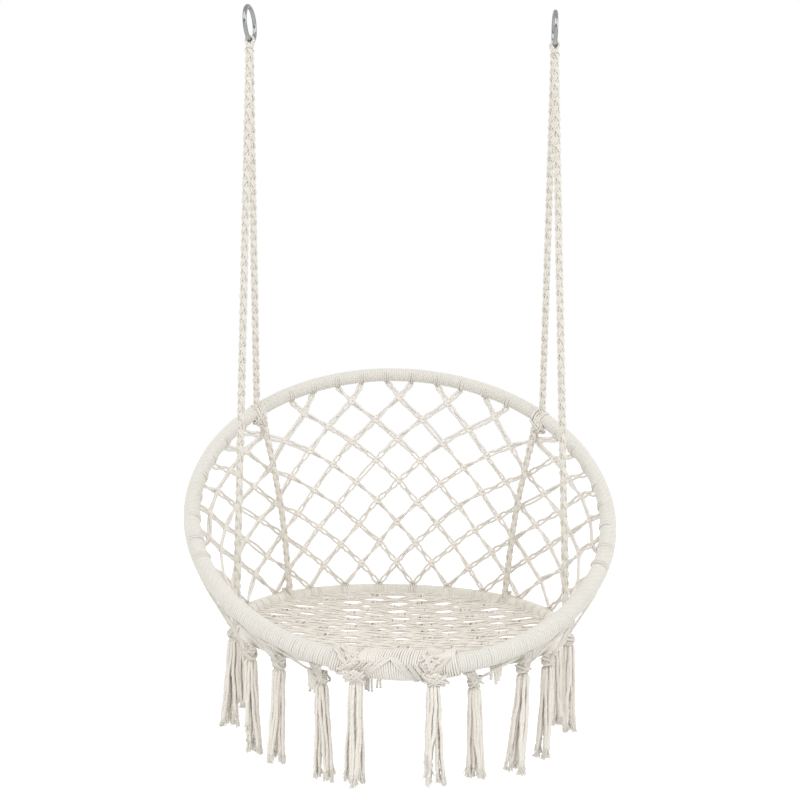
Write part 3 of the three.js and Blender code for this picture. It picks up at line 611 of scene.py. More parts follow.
def eyePieces(side):
    plan = eyePlan
    wireAt = ringPiece(side)
    head = boxOf(f"eye_binding_{side}")[1][2] - wireAt[2]
    foot = head - plan["footDrop"] * mm
    gather, swell = plan["gather"]
    yarn = Yarn()
    for layer, forward in enumerate(plan["layers"]):
        arch = plan["arch"] * mm + plan["wobble"][layer % 2] * mm
        arc = [np.array([-math.cos(t) * arch, forward * mm * (gather + swell * math.cos(t)),
                         math.sin(t) * arch]) for t in np.radians(np.linspace(0, 180, plan["archSteps"]))]
        leg = [np.array([x * mm, forward * mm * spread, foot * down]) for x, spread, down in plan["legs"]]
        back = [p * (-1, 1, 1) for p in reversed(leg)]
        path = wireAt + spline(leg + arc + back, plan["steps"])
        yarn.layPlied(path, plan["cord"], plan["lay"], plan["depth"], plan["sides"])
    yarn.build(f"rope_eye_{side}", "cords", cotton)
    t = math.pi + np.linspace(0, math.pi, seamPlan["steps"])  # the front half
    wide, deep = (size * mm for size in seamPlan["size"])
    height = head - (seamPlan["drop"] + seamPlan["slope"] * np.sin(t)) * mm
    seam = wireAt + np.stack([wide * np.cos(t), deep * np.sin(t), height], 1)
    Yarn().lay(seam, seamPlan["thread"] * mm).build(f"eye_binding_{side}", "thread", threadAndPaintedShade)


for side in sides:
    eyePieces(side)
print("rings and eyes made")

# Windings of the two hoops: one long cord in close turns over a core
windPlan = {"pitch": 3.9, "cord": 2.15, "perTurn": 15, "sides": 5, "pitchWander": 0.035, "radiusWander": 0.04,
            "coreDepth": 1.6, "coreSteps": 180, "coreSides": 18, "coreTint": -1.0}


def windHoop(name, hoop, finish, shades):
    plan = windPlan
    turns = int(2 * math.pi * hoop.radius / (plan["pitch"] * mm))
    t = np.arange(turns * plan["perTurn"]) / plan["perTurn"]
    wander = np.interp(t, np.arange(turns + 1), np.append(dice.normal(0, plan["pitchWander"], turns), 0))
    angle = 360 * (t + wander * np.minimum(1, np.minimum(t, turns - t))) / turns
    lift = np.interp(t, np.arange(turns + 1), dice.normal(0, plan["radiusWander"], turns + 1)) * mm
    reach = hoop.wrap - plan["cord"] * mm + lift
    path = hoop.around(angle, 360 * t, reach[:, None])
    tints = np.repeat(dice.uniform(-shades, shades, turns), plan["perTurn"])[None]
    normals = path - hoop.point(angle)
    yarn = Yarn().lay(path, plan["cord"] * mm, plan["sides"], normals=normals, closed=True, tint=tints)
    core = hoop.point(np.linspace(0, 360, plan["coreSteps"], endpoint=False))
    yarn.lay(core, hoop.wrap - plan["coreDepth"] * plan["cord"] * mm, plan["coreSides"], normals=hoop.normal,
             closed=True, tint=plan["coreTint"])
    yarn.build(name, "winding", finish)


windHoop("back_hoop_wrap", backHoop, hoopCotton, 0.2)
windHoop("seat_hoop_wrap", seatHoop, woundCotton, 0.7)
print("windings made")

# Short arcs of cord over a winding, round the side of the hoop that faces a place
arcPlan = {"points": 11, "spacingWander": 0.06, "endSink": 0.75}


def hoopArcs(yarn, hoop, angles, places, cord, reach, count, spacing, lift, lean=0.0, offset=0.0):
    angles = np.atleast_1d(angles).astype(float)
    towards = np.atleast_2d(places) - hoop.point(angles)
    middle = np.degrees(np.arctan2(towards @ hoop.normal, (towards * hoop.spoke(angles)).sum(-1)))
    s = np.linspace(-1, 1, arcPlan["points"])[None]
    for place in centred(count):
        wander = dice.normal(0, arcPlan["spacingWander"] * spacing, (len(angles), 1))
        along = angles[:, None] + hoop.step((offset + place * spacing + wander + lean * s) * mm)
        distance = hoop.wrap + cord * (lift * (1 - s ** 4) - arcPlan["endSink"] * s ** 4) * mm
        distance = np.broadcast_to(distance, along.shape)[..., None]
        path = hoop.around(along, middle[:, None] + reach * s, distance)
        yarn.lay(path, cord * mm, normals=path - hoop.point(along))


# Small net knots: closed loops stacked along a cord
loopPlan = {"leanWander": 0.3, "flattening": 0.8}


def knotLoops(yarn, centres, along, outward, size, turns, cord, lean=1.6, points=12, tint=None):
    breadth, height, depth = size
    along, outward = unit(along), unit(outward)
    across = np.cross(along, outward)
    a = circle(points)[None]
    for k, place in enumerate(centred(turns)):
        rise = place * (height - 2 * cord) / max(turns - 1, 1) * mm
        tip = (lean * alternate(k) + dice.normal(0, loopPlan["leanWander"], (len(centres), 1, 1))) * mm
        path = (centres[:, None] + along[:, None] * (rise + tip * np.cos(a))
                + across[:, None] * np.cos(a) * (breadth / 2 - cord) * mm
                + outward[:, None] * np.sin(a) * (depth / 2 - cord * loopPlan["flattening"]) * mm)
        yarn.lay(path, cord * mm, normals=along[:, None], closed=True, tint=tint)


# A dense knot: a core, round turns over it and turns that cross them
densePlan = {"corePoints": 7, "coreSides": 10, "coreEnds": 0.47, "coreTint": -0.8, "points": 22, "lay": 16.0,
             "sink": 0.9, "tilt": (1.5, 3.5), "crossLean": (28, 62), "crossSpread": 0.55, "crossRise": 0.6,
             "crossSink": 0.3}


def denseKnot(yarn, centre, outward, size, cord, turns, crossings):
    plan = densePlan
    breadth, height, depth = size
    outward = unit(outward)
    across = unit(np.cross(up, outward))
    z = np.linspace(-plan["coreEnds"], plan["coreEnds"], plan["corePoints"])
    swell = np.sqrt(1 - (2 * z) ** 2)
    yarn.lay(centre + up * (z * (height - cord) * mm)[:, None], (breadth / 2 - cord) * swell[None] * mm,
             plan["coreSides"], normals=across, flat=(depth / 2 - cord) / (breadth / 2 - cord),
             tint=plan["coreTint"])
    a = circle(plan["points"])
    for k, place in enumerate(centred(turns)):
        z = place * (height - 2 * cord) / turns
        swell = math.sqrt(1 - (2 * z / height) ** 2)
        tilt = dice.uniform(*plan["tilt"]) * alternate(k)
        path = (centre + across * np.cos(a) * (breadth / 2 - cord * plan["sink"]) * swell * mm
                + outward * np.sin(a) * (depth / 2 - cord * plan["sink"]) * swell * mm
                + up * (z + tilt * np.cos(a)) * mm)
        yarn.layPlied(path, cord, plan["lay"], normals=path - centre, closed=True)
    for k, place in enumerate(centred(crossings)):
        lean = math.radians(dice.uniform(*plan["crossLean"])) * alternate(k)
        shift = place * breadth / crossings * plan["crossSpread"]
        path = (centre + across * (shift + np.cos(a) * math.cos(lean) * (breadth / 2 - cord)) * mm
                + up * np.cos(a) * math.sin(lean) * (height / 2 - cord * plan["crossRise"]) * mm
                + outward * np.sin(a) * (depth / 2 - cord * plan["crossSink"]) * mm)
        yarn.layPlied(path, cord, plan["lay"], normals=path - centre, closed=True)


# Cords side by side from one place to another. Some pairs cross once, and some open in a lens.
pairPlan = {"points": 15, "crossedShare": 0.2, "crossReach": 1.3, "crossLift": 0.95, "wholeShare": 0.12,
            "leastOpening": 0.4, "endLength": 0.44, "slack": 1.4, "slackWays": (0.7, 0.5), "ripple": 0.25}


def cordPairs(yarn, starts, finishes, outward, tight, wide, cord):
    plan = pairPlan
    s = np.linspace(0, 1, plan["points"])[None, :, None]
    way = finishes - starts
    out = square(outward, unit(way))
    across = np.cross(unit(way), out)[:, None]
    out = out[:, None]
    shape = (len(starts), 1, 1)
    kind = dice.choice([1.0, -1.0], shape)
    crossed = (dice.random(shape) < plan["crossedShare"]) * 1.0
    middle = dice.uniform(lerp(tight, wide, plan["leastOpening"]), wide, shape)
    belly = np.sin(math.pi * s)
    ends = np.sin(math.pi * np.minimum(np.minimum(s, 1 - s) / plan["endLength"], 1)) ** 2
    whole = dice.random(shape) < plan["wholeShare"]
    slack = dice.normal(0, plan["slack"], shape) * mm
    for share in (-1, 1):
        opening = tight + (middle - tight) * np.where(whole, belly, ends)
        wave = crossed * tight * plan["crossReach"] * np.cos(math.pi * s) + (1 - crossed) * opening
        path = (starts[:, None] + way[:, None] * s + across * (share * mm * wave * kind)
                + out * (share * cord * plan["crossLift"] * mm * belly * crossed)
                + (across * plan["slackWays"][0] + out * plan["slackWays"][1]) * slack * belly
                + across * dice.normal(0, plan["ripple"], shape) * mm * np.sin(3 * math.pi * s))
        yarn.layPlied(path, cord)


def backNet():
    plan = netPlan
    lowRow = 1 + 2 * (plan["sideColumn"] - plan["topColumn"])
    middleColumn = 30
    wobble = dice.normal(0, plan["wobble"], (plan["rows"] + 2, 2 * middleColumn, 3)) * mm

    def exists(row, column):
        last = min(plan["topColumn"] + (row - 1) / 2, plan["sideColumn"])
        return 1 <= row <= plan["rows"] and abs(column) <= last + 1e-6

    def knotAt(row, column):
        head, foot, outward = netLine(column)
        edgeHead, edgeFoot, _ = netLine(min(abs(column), plan["topColumn"]))
        room = (plan["topRoom"] + plan["footRoom"]) * mm
        pitch = (np.linalg.norm(edgeHead - edgeFoot) - room) / (plan["rows"] - 1)
        down = unit(foot - head)
        hand = wobble[row, round(2 * column) + middleColumn]
        return foot - down * (plan["footRoom"] * mm + (plan["rows"] - row) * pitch) + hand, down, outward

    def hitchColumn(row, column, step):
        if row > lowRow:
            return step * plan["lowHitches"][1]
        if abs(column) < plan["topColumn"]:
            return column + step * plan["hitchShare"]
        return column + step * (plan["sideShare"] if step * column > 0 else plan["knotShare"])

    knots, links = [], []
    hitches = {backHoop: [], seatHoop: []}

    def hitch(hoop, angle, at, column, under=False):
        head, foot, outward = netLine(column)
        away = unit(foot - head) * (1 if hoop is backHoop else -1)
        start = hoop.point(angle) + away * (hoop.wrap + 0.5 * plan["cord"] * mm)
        links.append((start, at, outward))
        if not under:
            near, far = plan["hitchFaces"]
            side = ahead if hoop is backHoop else -hoop.spoke(angle)
            face, shadeSlit = hoop.point(angle) + away + near * side, start + far * side * hoop.wrap
            hitches[hoop].append((angle, face, shadeSlit))

    for row in range(1, plan["rows"] + 1):
        inset = 0 if row % 2 else 0.5
        for column in np.arange(inset - plan["rows"], plan["rows"]):
            if not exists(row, column):
                continue
            at, down, outward = knotAt(row, column)
            knots.append((at, down, outward))
            for step in (-1, 1):
                beside = column + step / 2
                if not exists(row - 1, beside):
                    there = hitchColumn(row, column, step)
                    onKnot = abs(column) == plan["topColumn"] and step * column < 0
                    hitch(backHoop, 180 - netTurns(there)[0], at, there, onKnot)
                if exists(row + 1, beside):
                    links.append((at, knotAt(row + 1, beside)[0], outward))
                elif row == lowRow:
                    there = step * plan["lowHitches"][0]
                    hitch(backHoop, 180 - netTurns(there)[0], at, there)
                else:
                    footStep = step * seatHoop.step(plan["footSpacing"] * mm)
                    hitch(seatHoop, 180 - netTurns(beside)[1] + footStep, at, beside)
    yarn = Yarn()
    cordPairs(yarn, *inColumns(links), plan["tight"], plan["wide"], plan["cord"])
    yarn.build("back_net", "cords", netCotton)
    yarn = Yarn()
    knotLoops(yarn, *inColumns(knots), cord=plan["cord"] * plan["knotCord"], **plan["knots"])
    yarn.build("back_net", "knots", netCotton)
    # Painted shade: thin dark cords are laid into the winding beside each hitch, standing for the shadowed
    # slits between the turns.
    shadeSlits = Yarn()
    for hoop, finish, ending in ((backHoop, hoopCotton, "hitches"), (seatHoop, woundCotton, "seat_hitches")):
        yarn = Yarn()
        angles, faces, places = inColumns(hitches[hoop])
        hoopArcs(yarn, hoop, angles, faces, **plan["hitch"])
        for offset in plan["shadeSlitOffsets"]:
            hoopArcs(shadeSlits, hoop, angles, places, reach=dice.uniform(*plan["shadeSlitReach"]), offset=offset,
                     **plan["shadeSlit"])
        yarn.build("back_net", ending, finish)
    shadeSlits.build("back_net", "hitch_gaps", threadAndPaintedShade)
    print("back net:", len(knots), "knots,", len(links), "links")


backNet()

# Seat net: flat bundles of cords in waves from side to side, tied to each other where they meet
bundleWidth = 13.6
seatPlan = {"cellLength": 95.0, "cellDepth": 56.0, "sag": 18.0, "cord": 2.15, "cords": 4,
            "spacing": (6.4, 3.5), "step": 4.5, "flatness": 1.1, "wide": (0.85, 1.15), "narrow": (0.0, 0.35),
            "frontSwing": 0.35, "waveDrifts": ((1.2, 31.0, 1.7), (0.8, 17.0, 2.9)),
            "cordDrift": (0.5, 19.0, 2.1), "cordRise": (1.4, 15.0, 2.4), "riseWander": 0.5, "sink": 0.55,
            "room": 30.0, "frontRoom": 98.0, "backRoom": 9.0, "ties": 8, "tieSpacing": 47.5,
            "tieWander": 3.0, "tieFan": 1.03, "tieTurn": 150.0,
            "tiePairs": {"tight": 2.2, "wide": 5.0, "cord": 2.15},
            # The knots' loops take a tint of -0.7, towards the darker tone: painted shade on the knots.
            "knot": {"size": (2 * bundleWidth + 1.5, 5.6, 7.4), "turns": 2, "cord": 1.25, "lean": 0.8,
                     "points": 14, "tint": -0.7},
            "besideKnot": {"size": (2 * bundleWidth - 3, 3.4, 7.0), "turns": 1, "cord": 1.5, "lean": 1.8,
                           "points": 14},
            "besideRoom": (8, 12), "gap": {"size": (bundleWidth + 1, 2.0, 6.0), "turns": 1, "cord": 0.7},
            "gapRoom": (3, 14), "gapLift": 0.9, "gapShare": 0.6,
            "hitch": {"cord": 1.6, "reach": 80.0, "count": 3, "spacing": 3.9, "lift": 0.25}}


def seatNet():
    plan = seatPlan
    rim = seatHoop.radius
    inner = rim - seatHoop.wrap * plan["sink"]
    frontEdge, backEdge = plan["frontRoom"] * mm - inner, inner - plan["backRoom"] * mm
    length, depth = plan["cellLength"] * mm, plan["cellDepth"] * mm
    swing = depth / 4 - bundleWidth * mm / 2

    def onNet(x, y):
        x, y = np.asarray(x)[..., None], np.asarray(y)[..., None]
        drop = plan["sag"] * mm * (1 - np.minimum((x * x + y * y) / rim ** 2, 1))
        return seatHoop.centre + seatHoop.right * x - seatHoop.front * y - seatHoop.normal * drop

    halfCells = np.arange(-20, 21)
    reaches = np.array([dice.uniform(*plan["narrow" if i % 2 else "wide"]) for i in halfCells])

    def openness(x):  # the openings in every second column are nearly closed
        return np.interp(2 * x / length, halfCells, reaches)

    def wave(x, k):
        bend = np.clip(plan["flatness"] * np.cos(2 * math.pi * x / length), -1, 1)
        drift = sum(far * mm * np.sin(x / (long * mm) + k * phase) for far, long, phase in plan["waveDrifts"])
        size = openness(x) * (1 - plan["frontSwing"] * np.clip((k + 0.5) * depth / 2 / rim, -1, 0))
        return (k + 0.5) * depth / 2 - (-1) ** k * swing * size * np.sin(bend * math.pi / 2) + drift

    def ripple(wave, shape, x, twist, cord):
        size, long, phase = shape
        return size * wave(x / (long * mm) + twist + phase * cord)[:, None]

    yarn, hitches = Yarn(), []
    rows = int(rim / depth) * 2 + 2
    waves = [k for k in range(-rows, rows) if frontEdge <= (k + 0.5) * depth / 2 <= backEdge]
    for k in waves:
        base = (k + 0.5) * depth / 2
        reach = math.sqrt(inner ** 2 - base ** 2)
        x = np.linspace(-reach, reach, max(12, int(2 * reach / (plan["step"] * mm))))
        middle = onNet(x, wave(x, k))
        across = np.cross(unit(np.gradient(middle, axis=0)), seatHoop.normal)
        twist = dice.uniform(0, 6)
        spacing = (lerp(*plan["spacing"], np.clip(openness(x), 0, 1)) * mm)[:, None]
        for c, share in enumerate(centred(plan["cords"])):
            drift = ripple(np.sin, plan["cordDrift"], x, twist, c) * mm
            rise = (ripple(np.cos, plan["cordRise"], x, twist, c) + dice.normal(0, plan["riseWander"])) * mm
            path = middle + across * (share * spacing + drift) + seatHoop.normal * rise
            yarn.lay(path, plan["cord"] * mm, normals=seatHoop.normal)
        for end in (-reach, reach):
            hitches.append((math.degrees(math.atan2(end, -base)), middle[len(x) // 2]))
    ties = centred(plan["ties"]) * plan["tieSpacing"] * mm
    ties = ties + dice.normal(0, plan["tieWander"] * mm, plan["ties"])
    edge = seatHoop.around(seatHoop.angleAt(ties * plan["tieFan"]), np.full(len(ties), plan["tieTurn"]),
                           seatHoop.wrap)
    cordPairs(yarn, onNet(ties, wave(ties, waves[0])), edge, seatHoop.normal, **plan["tiePairs"])
    yarn.build("seat_net", "cords", seatCotton)

    knots = []
    last = int(rim / length) * 2 + 2
    for i in range(-last, last + 1):
        for j in range(-rows, rows + 1):
            x, y = i * length / 2, (j + (0.5 if i % 2 else 0)) * depth
            held = frontEdge <= y - depth / 4 and y + depth / 4 <= backEdge
            if held and math.hypot(x, y) < rim - plan["room"] * mm:
                knots.append(onNet(x, y))
    knots = np.array(knots)
    along = np.broadcast_to(seatHoop.right, knots.shape)
    outs = np.broadcast_to(seatHoop.normal, knots.shape)
    yarn = Yarn()
    knotLoops(yarn, knots, along, outs, **plan["knot"])
    for sign in (-1, 1):
        shift = along * sign * dice.uniform(*plan["besideRoom"], (len(knots), 1)) * mm
        knotLoops(yarn, knots + shift, along, outs, **plan["besideKnot"])
    yarn.build("seat_net", "knots", cotton)
    # Painted shade: small dark loops, laid over some knots a little to either side of their middles, stand
    # for the shadowed gaps in the knots.
    yarn = Yarn()
    for sign in (-1, 1):
        room = dice.uniform(*plan["gapRoom"], (len(knots), 1))
        shift = (along * sign * room + outs * plan["gapLift"]) * mm
        seen = dice.random(len(knots)) < plan["gapShare"]
        knotLoops(yarn, (knots + shift)[seen], along[seen], outs[seen], **plan["gap"])
    yarn.build("seat_net", "gaps", threadAndPaintedShade)
    yarn = Yarn()
    hoopArcs(yarn, seatHoop, *inColumns(hitches), **plan["hitch"])
    yarn.build("seat_net", "hitches", woundCotton)
    print("seat net:", len(knots), "knots")


seatNet()

# Rope knots on the hoops: turns over the hoop, and a dense knot where the rope is tied off
ropeKnotPlan = {
    "rear": {"arcs": {"cord": 2.5, "reach": 95.0, "count": 4, "spacing": 6.0, "lift": 0.7, "lean": 2.0},
             "knot": {"size": (30.0, 36.0, 20.0), "cord": 2.5, "turns": 4, "crossings": 5}},
    "lower": {"arcs": {"cord": 2.1, "reach": 85.0, "count": 5, "spacing": 5.0, "lift": 0.55, "lean": 1.5},
              "knot": {"size": (17.0, 14.0, 13.0), "cord": 1.8, "turns": 2, "crossings": 2}},
    "front": {"arcs": {"cord": 2.5, "reach": 120.0, "count": 5, "spacing": 5.6, "lift": 0.8, "lean": 2.0},
              "knot": {"size": (27.0, 22.0, 20.0), "cord": 2.25, "turns": 3, "crossings": 4}},
    "rearTurn": 205.0, "rearShift": 1.5, "rearRoom": 4.0, "rearTip": 0.3, "lowerRoom": 18.0,
    "frontRise": 8.0}


def ropeKnots(side):
    plan = ropeKnotPlan
    low, high = boxOf("tassel_2" if side == "left" else "tassel_11")
    top = np.array([*(low + high)[:2] / 2, high[2]])
    rear, lower, front = knotAngles(side)
    lowerAt, lowerEnd = seatHoop.point(lower), lowerRoute(side)[1]
    under = backHoop.around(rear - sides[side] * plan["rearShift"], plan["rearTurn"],
                            backHoop.wrap + plan["rearRoom"] * mm)
    below = lowerAt + unit(lowerEnd - lowerAt) * plan["lowerRoom"] * mm
    above = top + up * plan["frontRise"] * mm
    rearOut, frontOut = ahead - plan["rearTip"] * up, (top - seatHoop.centre) * level
    knots = {"rear": (backHoop, rear, backHoop.point(rear) + ahead, under, rearOut, cotton),
             "lower": (seatHoop, lower, lowerEnd, below, ahead, shadedCotton),
             "front": (seatHoop, front, top, above, frontOut, cotton)}
    for place, (hoop, angle, faced, centre, outward, finish) in knots.items():
        yarn = Yarn()
        hoopArcs(yarn, hoop, angle, faced, **plan[place]["arcs"])
        denseKnot(yarn, centre, outward, **plan[place]["knot"])
        yarn.build(f"{place}_rope_knot_{side}", "turns", finish)


for side in sides:
    ropeKnots(side)
print("rope knots made")

# Lashing round both hoops at the front, its two knots and the loose ends under it.
# Runs go through places of x and phi. A phi of 90 is the top, 180 the front and 270 underneath.
lashPlan = {"left": 110.0, "right": 84.0, "pitch": 3.7, "cord": 1.95, "perTurn": 26, "pitchWander": 0.2,
            "wall": 1.2, "lean": 3.0, "leanLength": 22.0, "flatness": 2.6, "seat": 0.6, "apex": -20.0,
            "fill": {"count": 40, "sides": 14, "height": 9.0, "tint": -0.8, "room": 1.0},
            "strays": ((-56.0, 19.0), (-49.0, 21.0), (-36.0, 14.0)), "strayTwins": (-2, 2),
            "stray": {"phi": 250.0, "lift": 3.0, "rise": 5.0, "swing": 1.5, "backward": 1.0, "points": 10,
                      "lay": 12.0, "depth": 0.12},
            "runPoints": 16, "runSpacing": 3.5, "runWander": 0.3, "runRise": 0.8, "runWave": (7, 2),
            "runLay": 15.0, "middleRun": {"lift": 4.6, "count": 4}, "sideRun": {"lift": 5.2, "count": 2},
            "knotCords": 2,
            "slants": {"count": 18, "first": 104, "step": 7.6, "half": 16, "slant": (5, 9), "wander": 9,
                       "shift": 4, "lift": (4.0, 6.4)},
            "tails": {"count": 4, "spacing": 9, "footSpacing": 5, "lean": (8, 15), "lift": (4.4, 6.0),
                      "phis": (150, 195, 244)},
            "knot": {"size": (36.0, 20.0, 17.0), "cord": 2.2, "turns": 3, "crossings": 5},
            "knotDrop": 9.0, "knotShift": 3.0}


def lashPlace(x, phi, lift):
    x, phi = np.broadcast_arrays(np.asarray(x, float), np.asarray(phi, float))
    a, b = (hoop.angleAt(x) for hoop in (backHoop, seatHoop))
    along = unit(backHoop.tangent(a) + seatHoop.tangent(b))
    a, b = backHoop.point(a), seatHoop.point(b)
    half = np.linalg.norm(b - a, axis=-1, keepdims=True) / 2
    across = (b - a) / (2 * half)
    over = unit(np.cross(along, across))
    phi = np.radians(phi)[..., None]
    outward = np.cos(phi) * across + np.sin(phi) * over
    reach = backHoop.wrap + np.asarray(lift)[..., None] * mm
    middle = (a + b) / 2 + across * half * np.clip(lashPlan["flatness"] * np.cos(phi), -1, 1)
    return middle + reach * outward, outward


def lashRuns(yarn, places, lift, count):  # cords side by side over the lashing
    plan = lashPlan
    places = spline([(*p, 0.0) for p in places], plan["runPoints"])[0]
    length, phase = plan["runWave"]
    for k, place in enumerate(centred(count)):
        shift = place * plan["runSpacing"] + dice.normal(0, plan["runWander"])
        rise = lift + plan["runRise"] * np.sin(np.linspace(0, length, plan["runPoints"]) + phase * k)
        line, away = lashPlace((places[:, 0] + shift) * mm, places[:, 1], rise)
        yarn.layPlied(line, plan["cord"], plan["runLay"], normals=away)


def lashKnot(side, centre):
    sign, middle, plan = sides[side], centre[0] / mm, lashPlan
    yarn = Yarn()
    slants = plan["slants"]
    for k in range(slants["count"]):  # short cords crossing over the winding, above the knot
        phi = slants["first"] + slants["step"] * k
        slant = dice.uniform(*slants["slant"]) * alternate(k)
        heart = middle + dice.uniform(-slants["wander"], slants["wander"]) + sign * slants["shift"]
        run = [(heart + step * slant, phi + step * slants["half"]) for step in (-1, 0, 1)]
        lashRuns(yarn, run, dice.uniform(*slants["lift"]), plan["knotCords"])
    tails = plan["tails"]
    for place in centred(tails["count"]):
        lean = sign * dice.uniform(*tails["lean"])
        start = middle - sign * slants["shift"] + tails["spacing"] * place
        run = zip((start - lean, start, middle + tails["footSpacing"] * place), tails["phis"])
        lashRuns(yarn, run, dice.uniform(*tails["lift"]), plan["knotCords"])
    foot = centre - up * plan["knotDrop"] * mm + sign * plan["knotShift"] * mm * backHoop.right
    denseKnot(yarn, foot, (centre - seatHoop.centre) * level, **plan["knot"])
    yarn.build(f"lashing_knot_{side}", "cords", cotton)


def lashing():
    plan = lashPlan
    left, right = plan["left"], plan["right"]
    turns = int((left + right) / plan["pitch"])
    t = np.linspace(0, turns, turns * plan["perTurn"])
    wander = np.interp(t, np.arange(turns + 1), dice.normal(0, plan["pitchWander"], turns + 1))
    x = -left + (left + right) * t / turns + wander
    x = x + plan["lean"] * np.sin(2 * math.pi * t) * np.sin(x / plan["leanLength"])
    lift = plan["wall"] + plan["cord"] * plan["seat"]
    path, outward = lashPlace(np.clip(x, -left, right) * mm, 360 * t, lift)
    yarn = Yarn().lay(path, plan["cord"] * mm, normals=outward)

    fill = plan["fill"]  # a flat core that closes the gap between the hoops
    spread = np.linspace(-left + fill["room"], right - fill["room"], fill["count"]) * mm
    near, far = (hoop.point(hoop.angleAt(spread)) for hoop in (backHoop, seatHoop))
    half = np.linalg.norm(far - near, axis=1) / 2
    yarn.lay((near + far) / 2, half[None], fill["sides"], normals=far - near,
             flat=fill["height"] * mm / half.max(), tint=fill["tint"])

    centres = {side: sum(boxOf(f"lashing_knot_{side}")) / 2 for side in sides}
    leftX, rightX = (centres[side][0] / mm for side in sides)
    apex = plan["apex"]
    lashRuns(yarn, [(apex, 112), (apex - 18, 160), (leftX + 16, 228)], **plan["middleRun"])
    lashRuns(yarn, [(apex + 2, 112), (apex + 20, 165), (rightX - 14, 232)], **plan["middleRun"])
    lashRuns(yarn, [(rightX + 32, 138), (rightX + 18, 182), (rightX + 6, 225)], **plan["sideRun"])
    lashRuns(yarn, [(leftX - 30, 128), (leftX - 12, 165), (leftX + 2, 215)], **plan["sideRun"])
    stray = plan["stray"]
    for place, size in plan["strays"]:
        for twin in plan["strayTwins"]:
            start = lashPlace((place + twin) * mm, stray["phi"], stray["lift"])[0]
            swing = np.array([dice.normal(0, stray["swing"]), stray["backward"], 0]) * mm
            end = start - up * size * mm + swing
            line = spline([start + up * stray["rise"] * mm, start, (start + end) / 2, end], stray["points"])
            yarn.layPlied(line, plan["cord"], stray["lay"], stray["depth"])
    yarn.build("hoop_lashing", "winding", woundCotton)
    for side in sides:
        lashKnot(side, centres[side])


lashing()
print("lashing made")

# Tassels, the knots over them, and the swags of cord that hold them to the back hoop
tasselPlan = {"strands": 16, "outer": 10, "steps": 26, "cord": 2.9, "sides": 8, "lay": 18.0, "depth": 0.12,
              "rise": 1.5, "topRadius": 8.7, "innerShare": 0.55, "neck": 0.55, "startWander": 0.12,
              "reachWander": 0.8, "flare": 1.4, "clumps": 3, "gathering": 0.6, "gatherPower": 1.5,
              "turnWander": 0.12, "ripple": (0.07, 7), "shortShare": 0.22, "short": (0.12, 0.3),
              "uneven": 0.07, "leanPower": 1.3, "sway": 0.6, "swayTurns": (8, 20),
              "leans": (0, -8, 7, -6, 8, -1, 0, 3, -13, -8, 1, 2),
              "feet": (11, 14.5, 11, 13.5, 15, 15, 15, 12, 15, 11, 9.5, 10)}
frayPlan = {"length": 13.0, "fibres": 14, "steps": 6, "sides": 4, "radii": (0.9, 0.7), "root": -0.15,
            "spread": 0.2, "droop": (1, 1, 0.2), "offset": 1.2, "curl": 1.0, "lengths": (0.75, 1.0)}


def tassel(number):
    plan, fray = tasselPlan, frayPlan
    name = f"tassel_{number}"
    low, high = boxOf(name)
    centre = np.array([*(low + high)[:2] / 2, high[2] + plan["rise"] * mm])
    length = high[2] - low[2]
    n, m, outer = plan["strands"], plan["steps"], plan["outer"]
    k = np.arange(n)
    within = (k >= outer)[:, None]
    start = np.where(k < outer, k / outer, (k - outer) / (n - outer)) * 2 * math.pi
    start = start + dice.normal(0, plan["startWander"], n)
    s = np.linspace(0, 1, m)[None]
    reach = lerp(plan["topRadius"], plan["feet"][number - 1], s ** plan["flare"])
    reach = reach * np.where(within, plan["innerShare"], 1.0)
    reach = reach * np.clip(s * m + plan["neck"], 0, 1) + dice.normal(0, plan["reachWander"], (n, 1)) * s
    clump = 2 * math.pi / plan["clumps"]
    phase = dice.uniform(0, clump)
    gathered = phase + np.round((start - phase) / clump) * clump
    turn = (gathered - start)[:, None] * plan["gathering"] + dice.normal(0, plan["turnWander"], (n, 1))
    ripple, ripples = plan["ripple"]
    a = start[:, None] + turn * s ** plan["gatherPower"]
    a = a + ripple * np.sin(s * ripples + dice.uniform(0, 6, (n, 1)))
    isShort = dice.random(n) < plan["shortShare"]
    short = np.where(isShort, dice.uniform(*plan["short"], n), dice.uniform(0, plan["uneven"], n))
    drop = length * (1 - short[:, None] * (k[:, None] > 1)) - fray["length"] * mm
    lean = plan["leans"][number - 1] * mm * s ** plan["leanPower"] * (drop / length)
    sway = [plan["sway"] * mm * np.sin(s * dice.uniform(*plan["swayTurns"], (n, 1))
                                       + dice.uniform(0, 6, (n, 1))) for _ in range(2)]
    path = centre + np.stack([reach * mm * np.cos(a) + sway[0] + lean, reach * mm * np.sin(a) + sway[1],
                              -s * drop], -1)
    yarn = Yarn()
    yarn.layPlied(path, plan["cord"], plan["lay"], plan["depth"], plan["sides"])
    yarn.build(name, "strands", tasselCotton, name)

    shape = (n * fray["fibres"], 3)
    strand = np.arange(shape[0]) // fray["fibres"]
    way = unit(path[:, -1] - path[:, -3])[strand]
    way = unit(way + dice.normal(0, fray["spread"], shape) * fray["droop"])
    offset = dice.normal(0, fray["offset"], shape) * level * mm
    reach = (fray["length"] * dice.uniform(*fray["lengths"], shape[0]))[:, None, None] * mm
    q = np.linspace(fray["root"], 1, fray["steps"])[None, :, None]
    curl = dice.normal(0, fray["curl"], shape)[:, None] * level * mm
    paths = (path[:, -1][strand] + offset)[:, None] + way[:, None] * reach * q + curl * q ** 2
    yarn = Yarn()
    yarn.lay(paths, np.linspace(*fray["radii"], fray["steps"])[None] * mm, fray["sides"])
    yarn.build(name, "fray", paleTips, name)


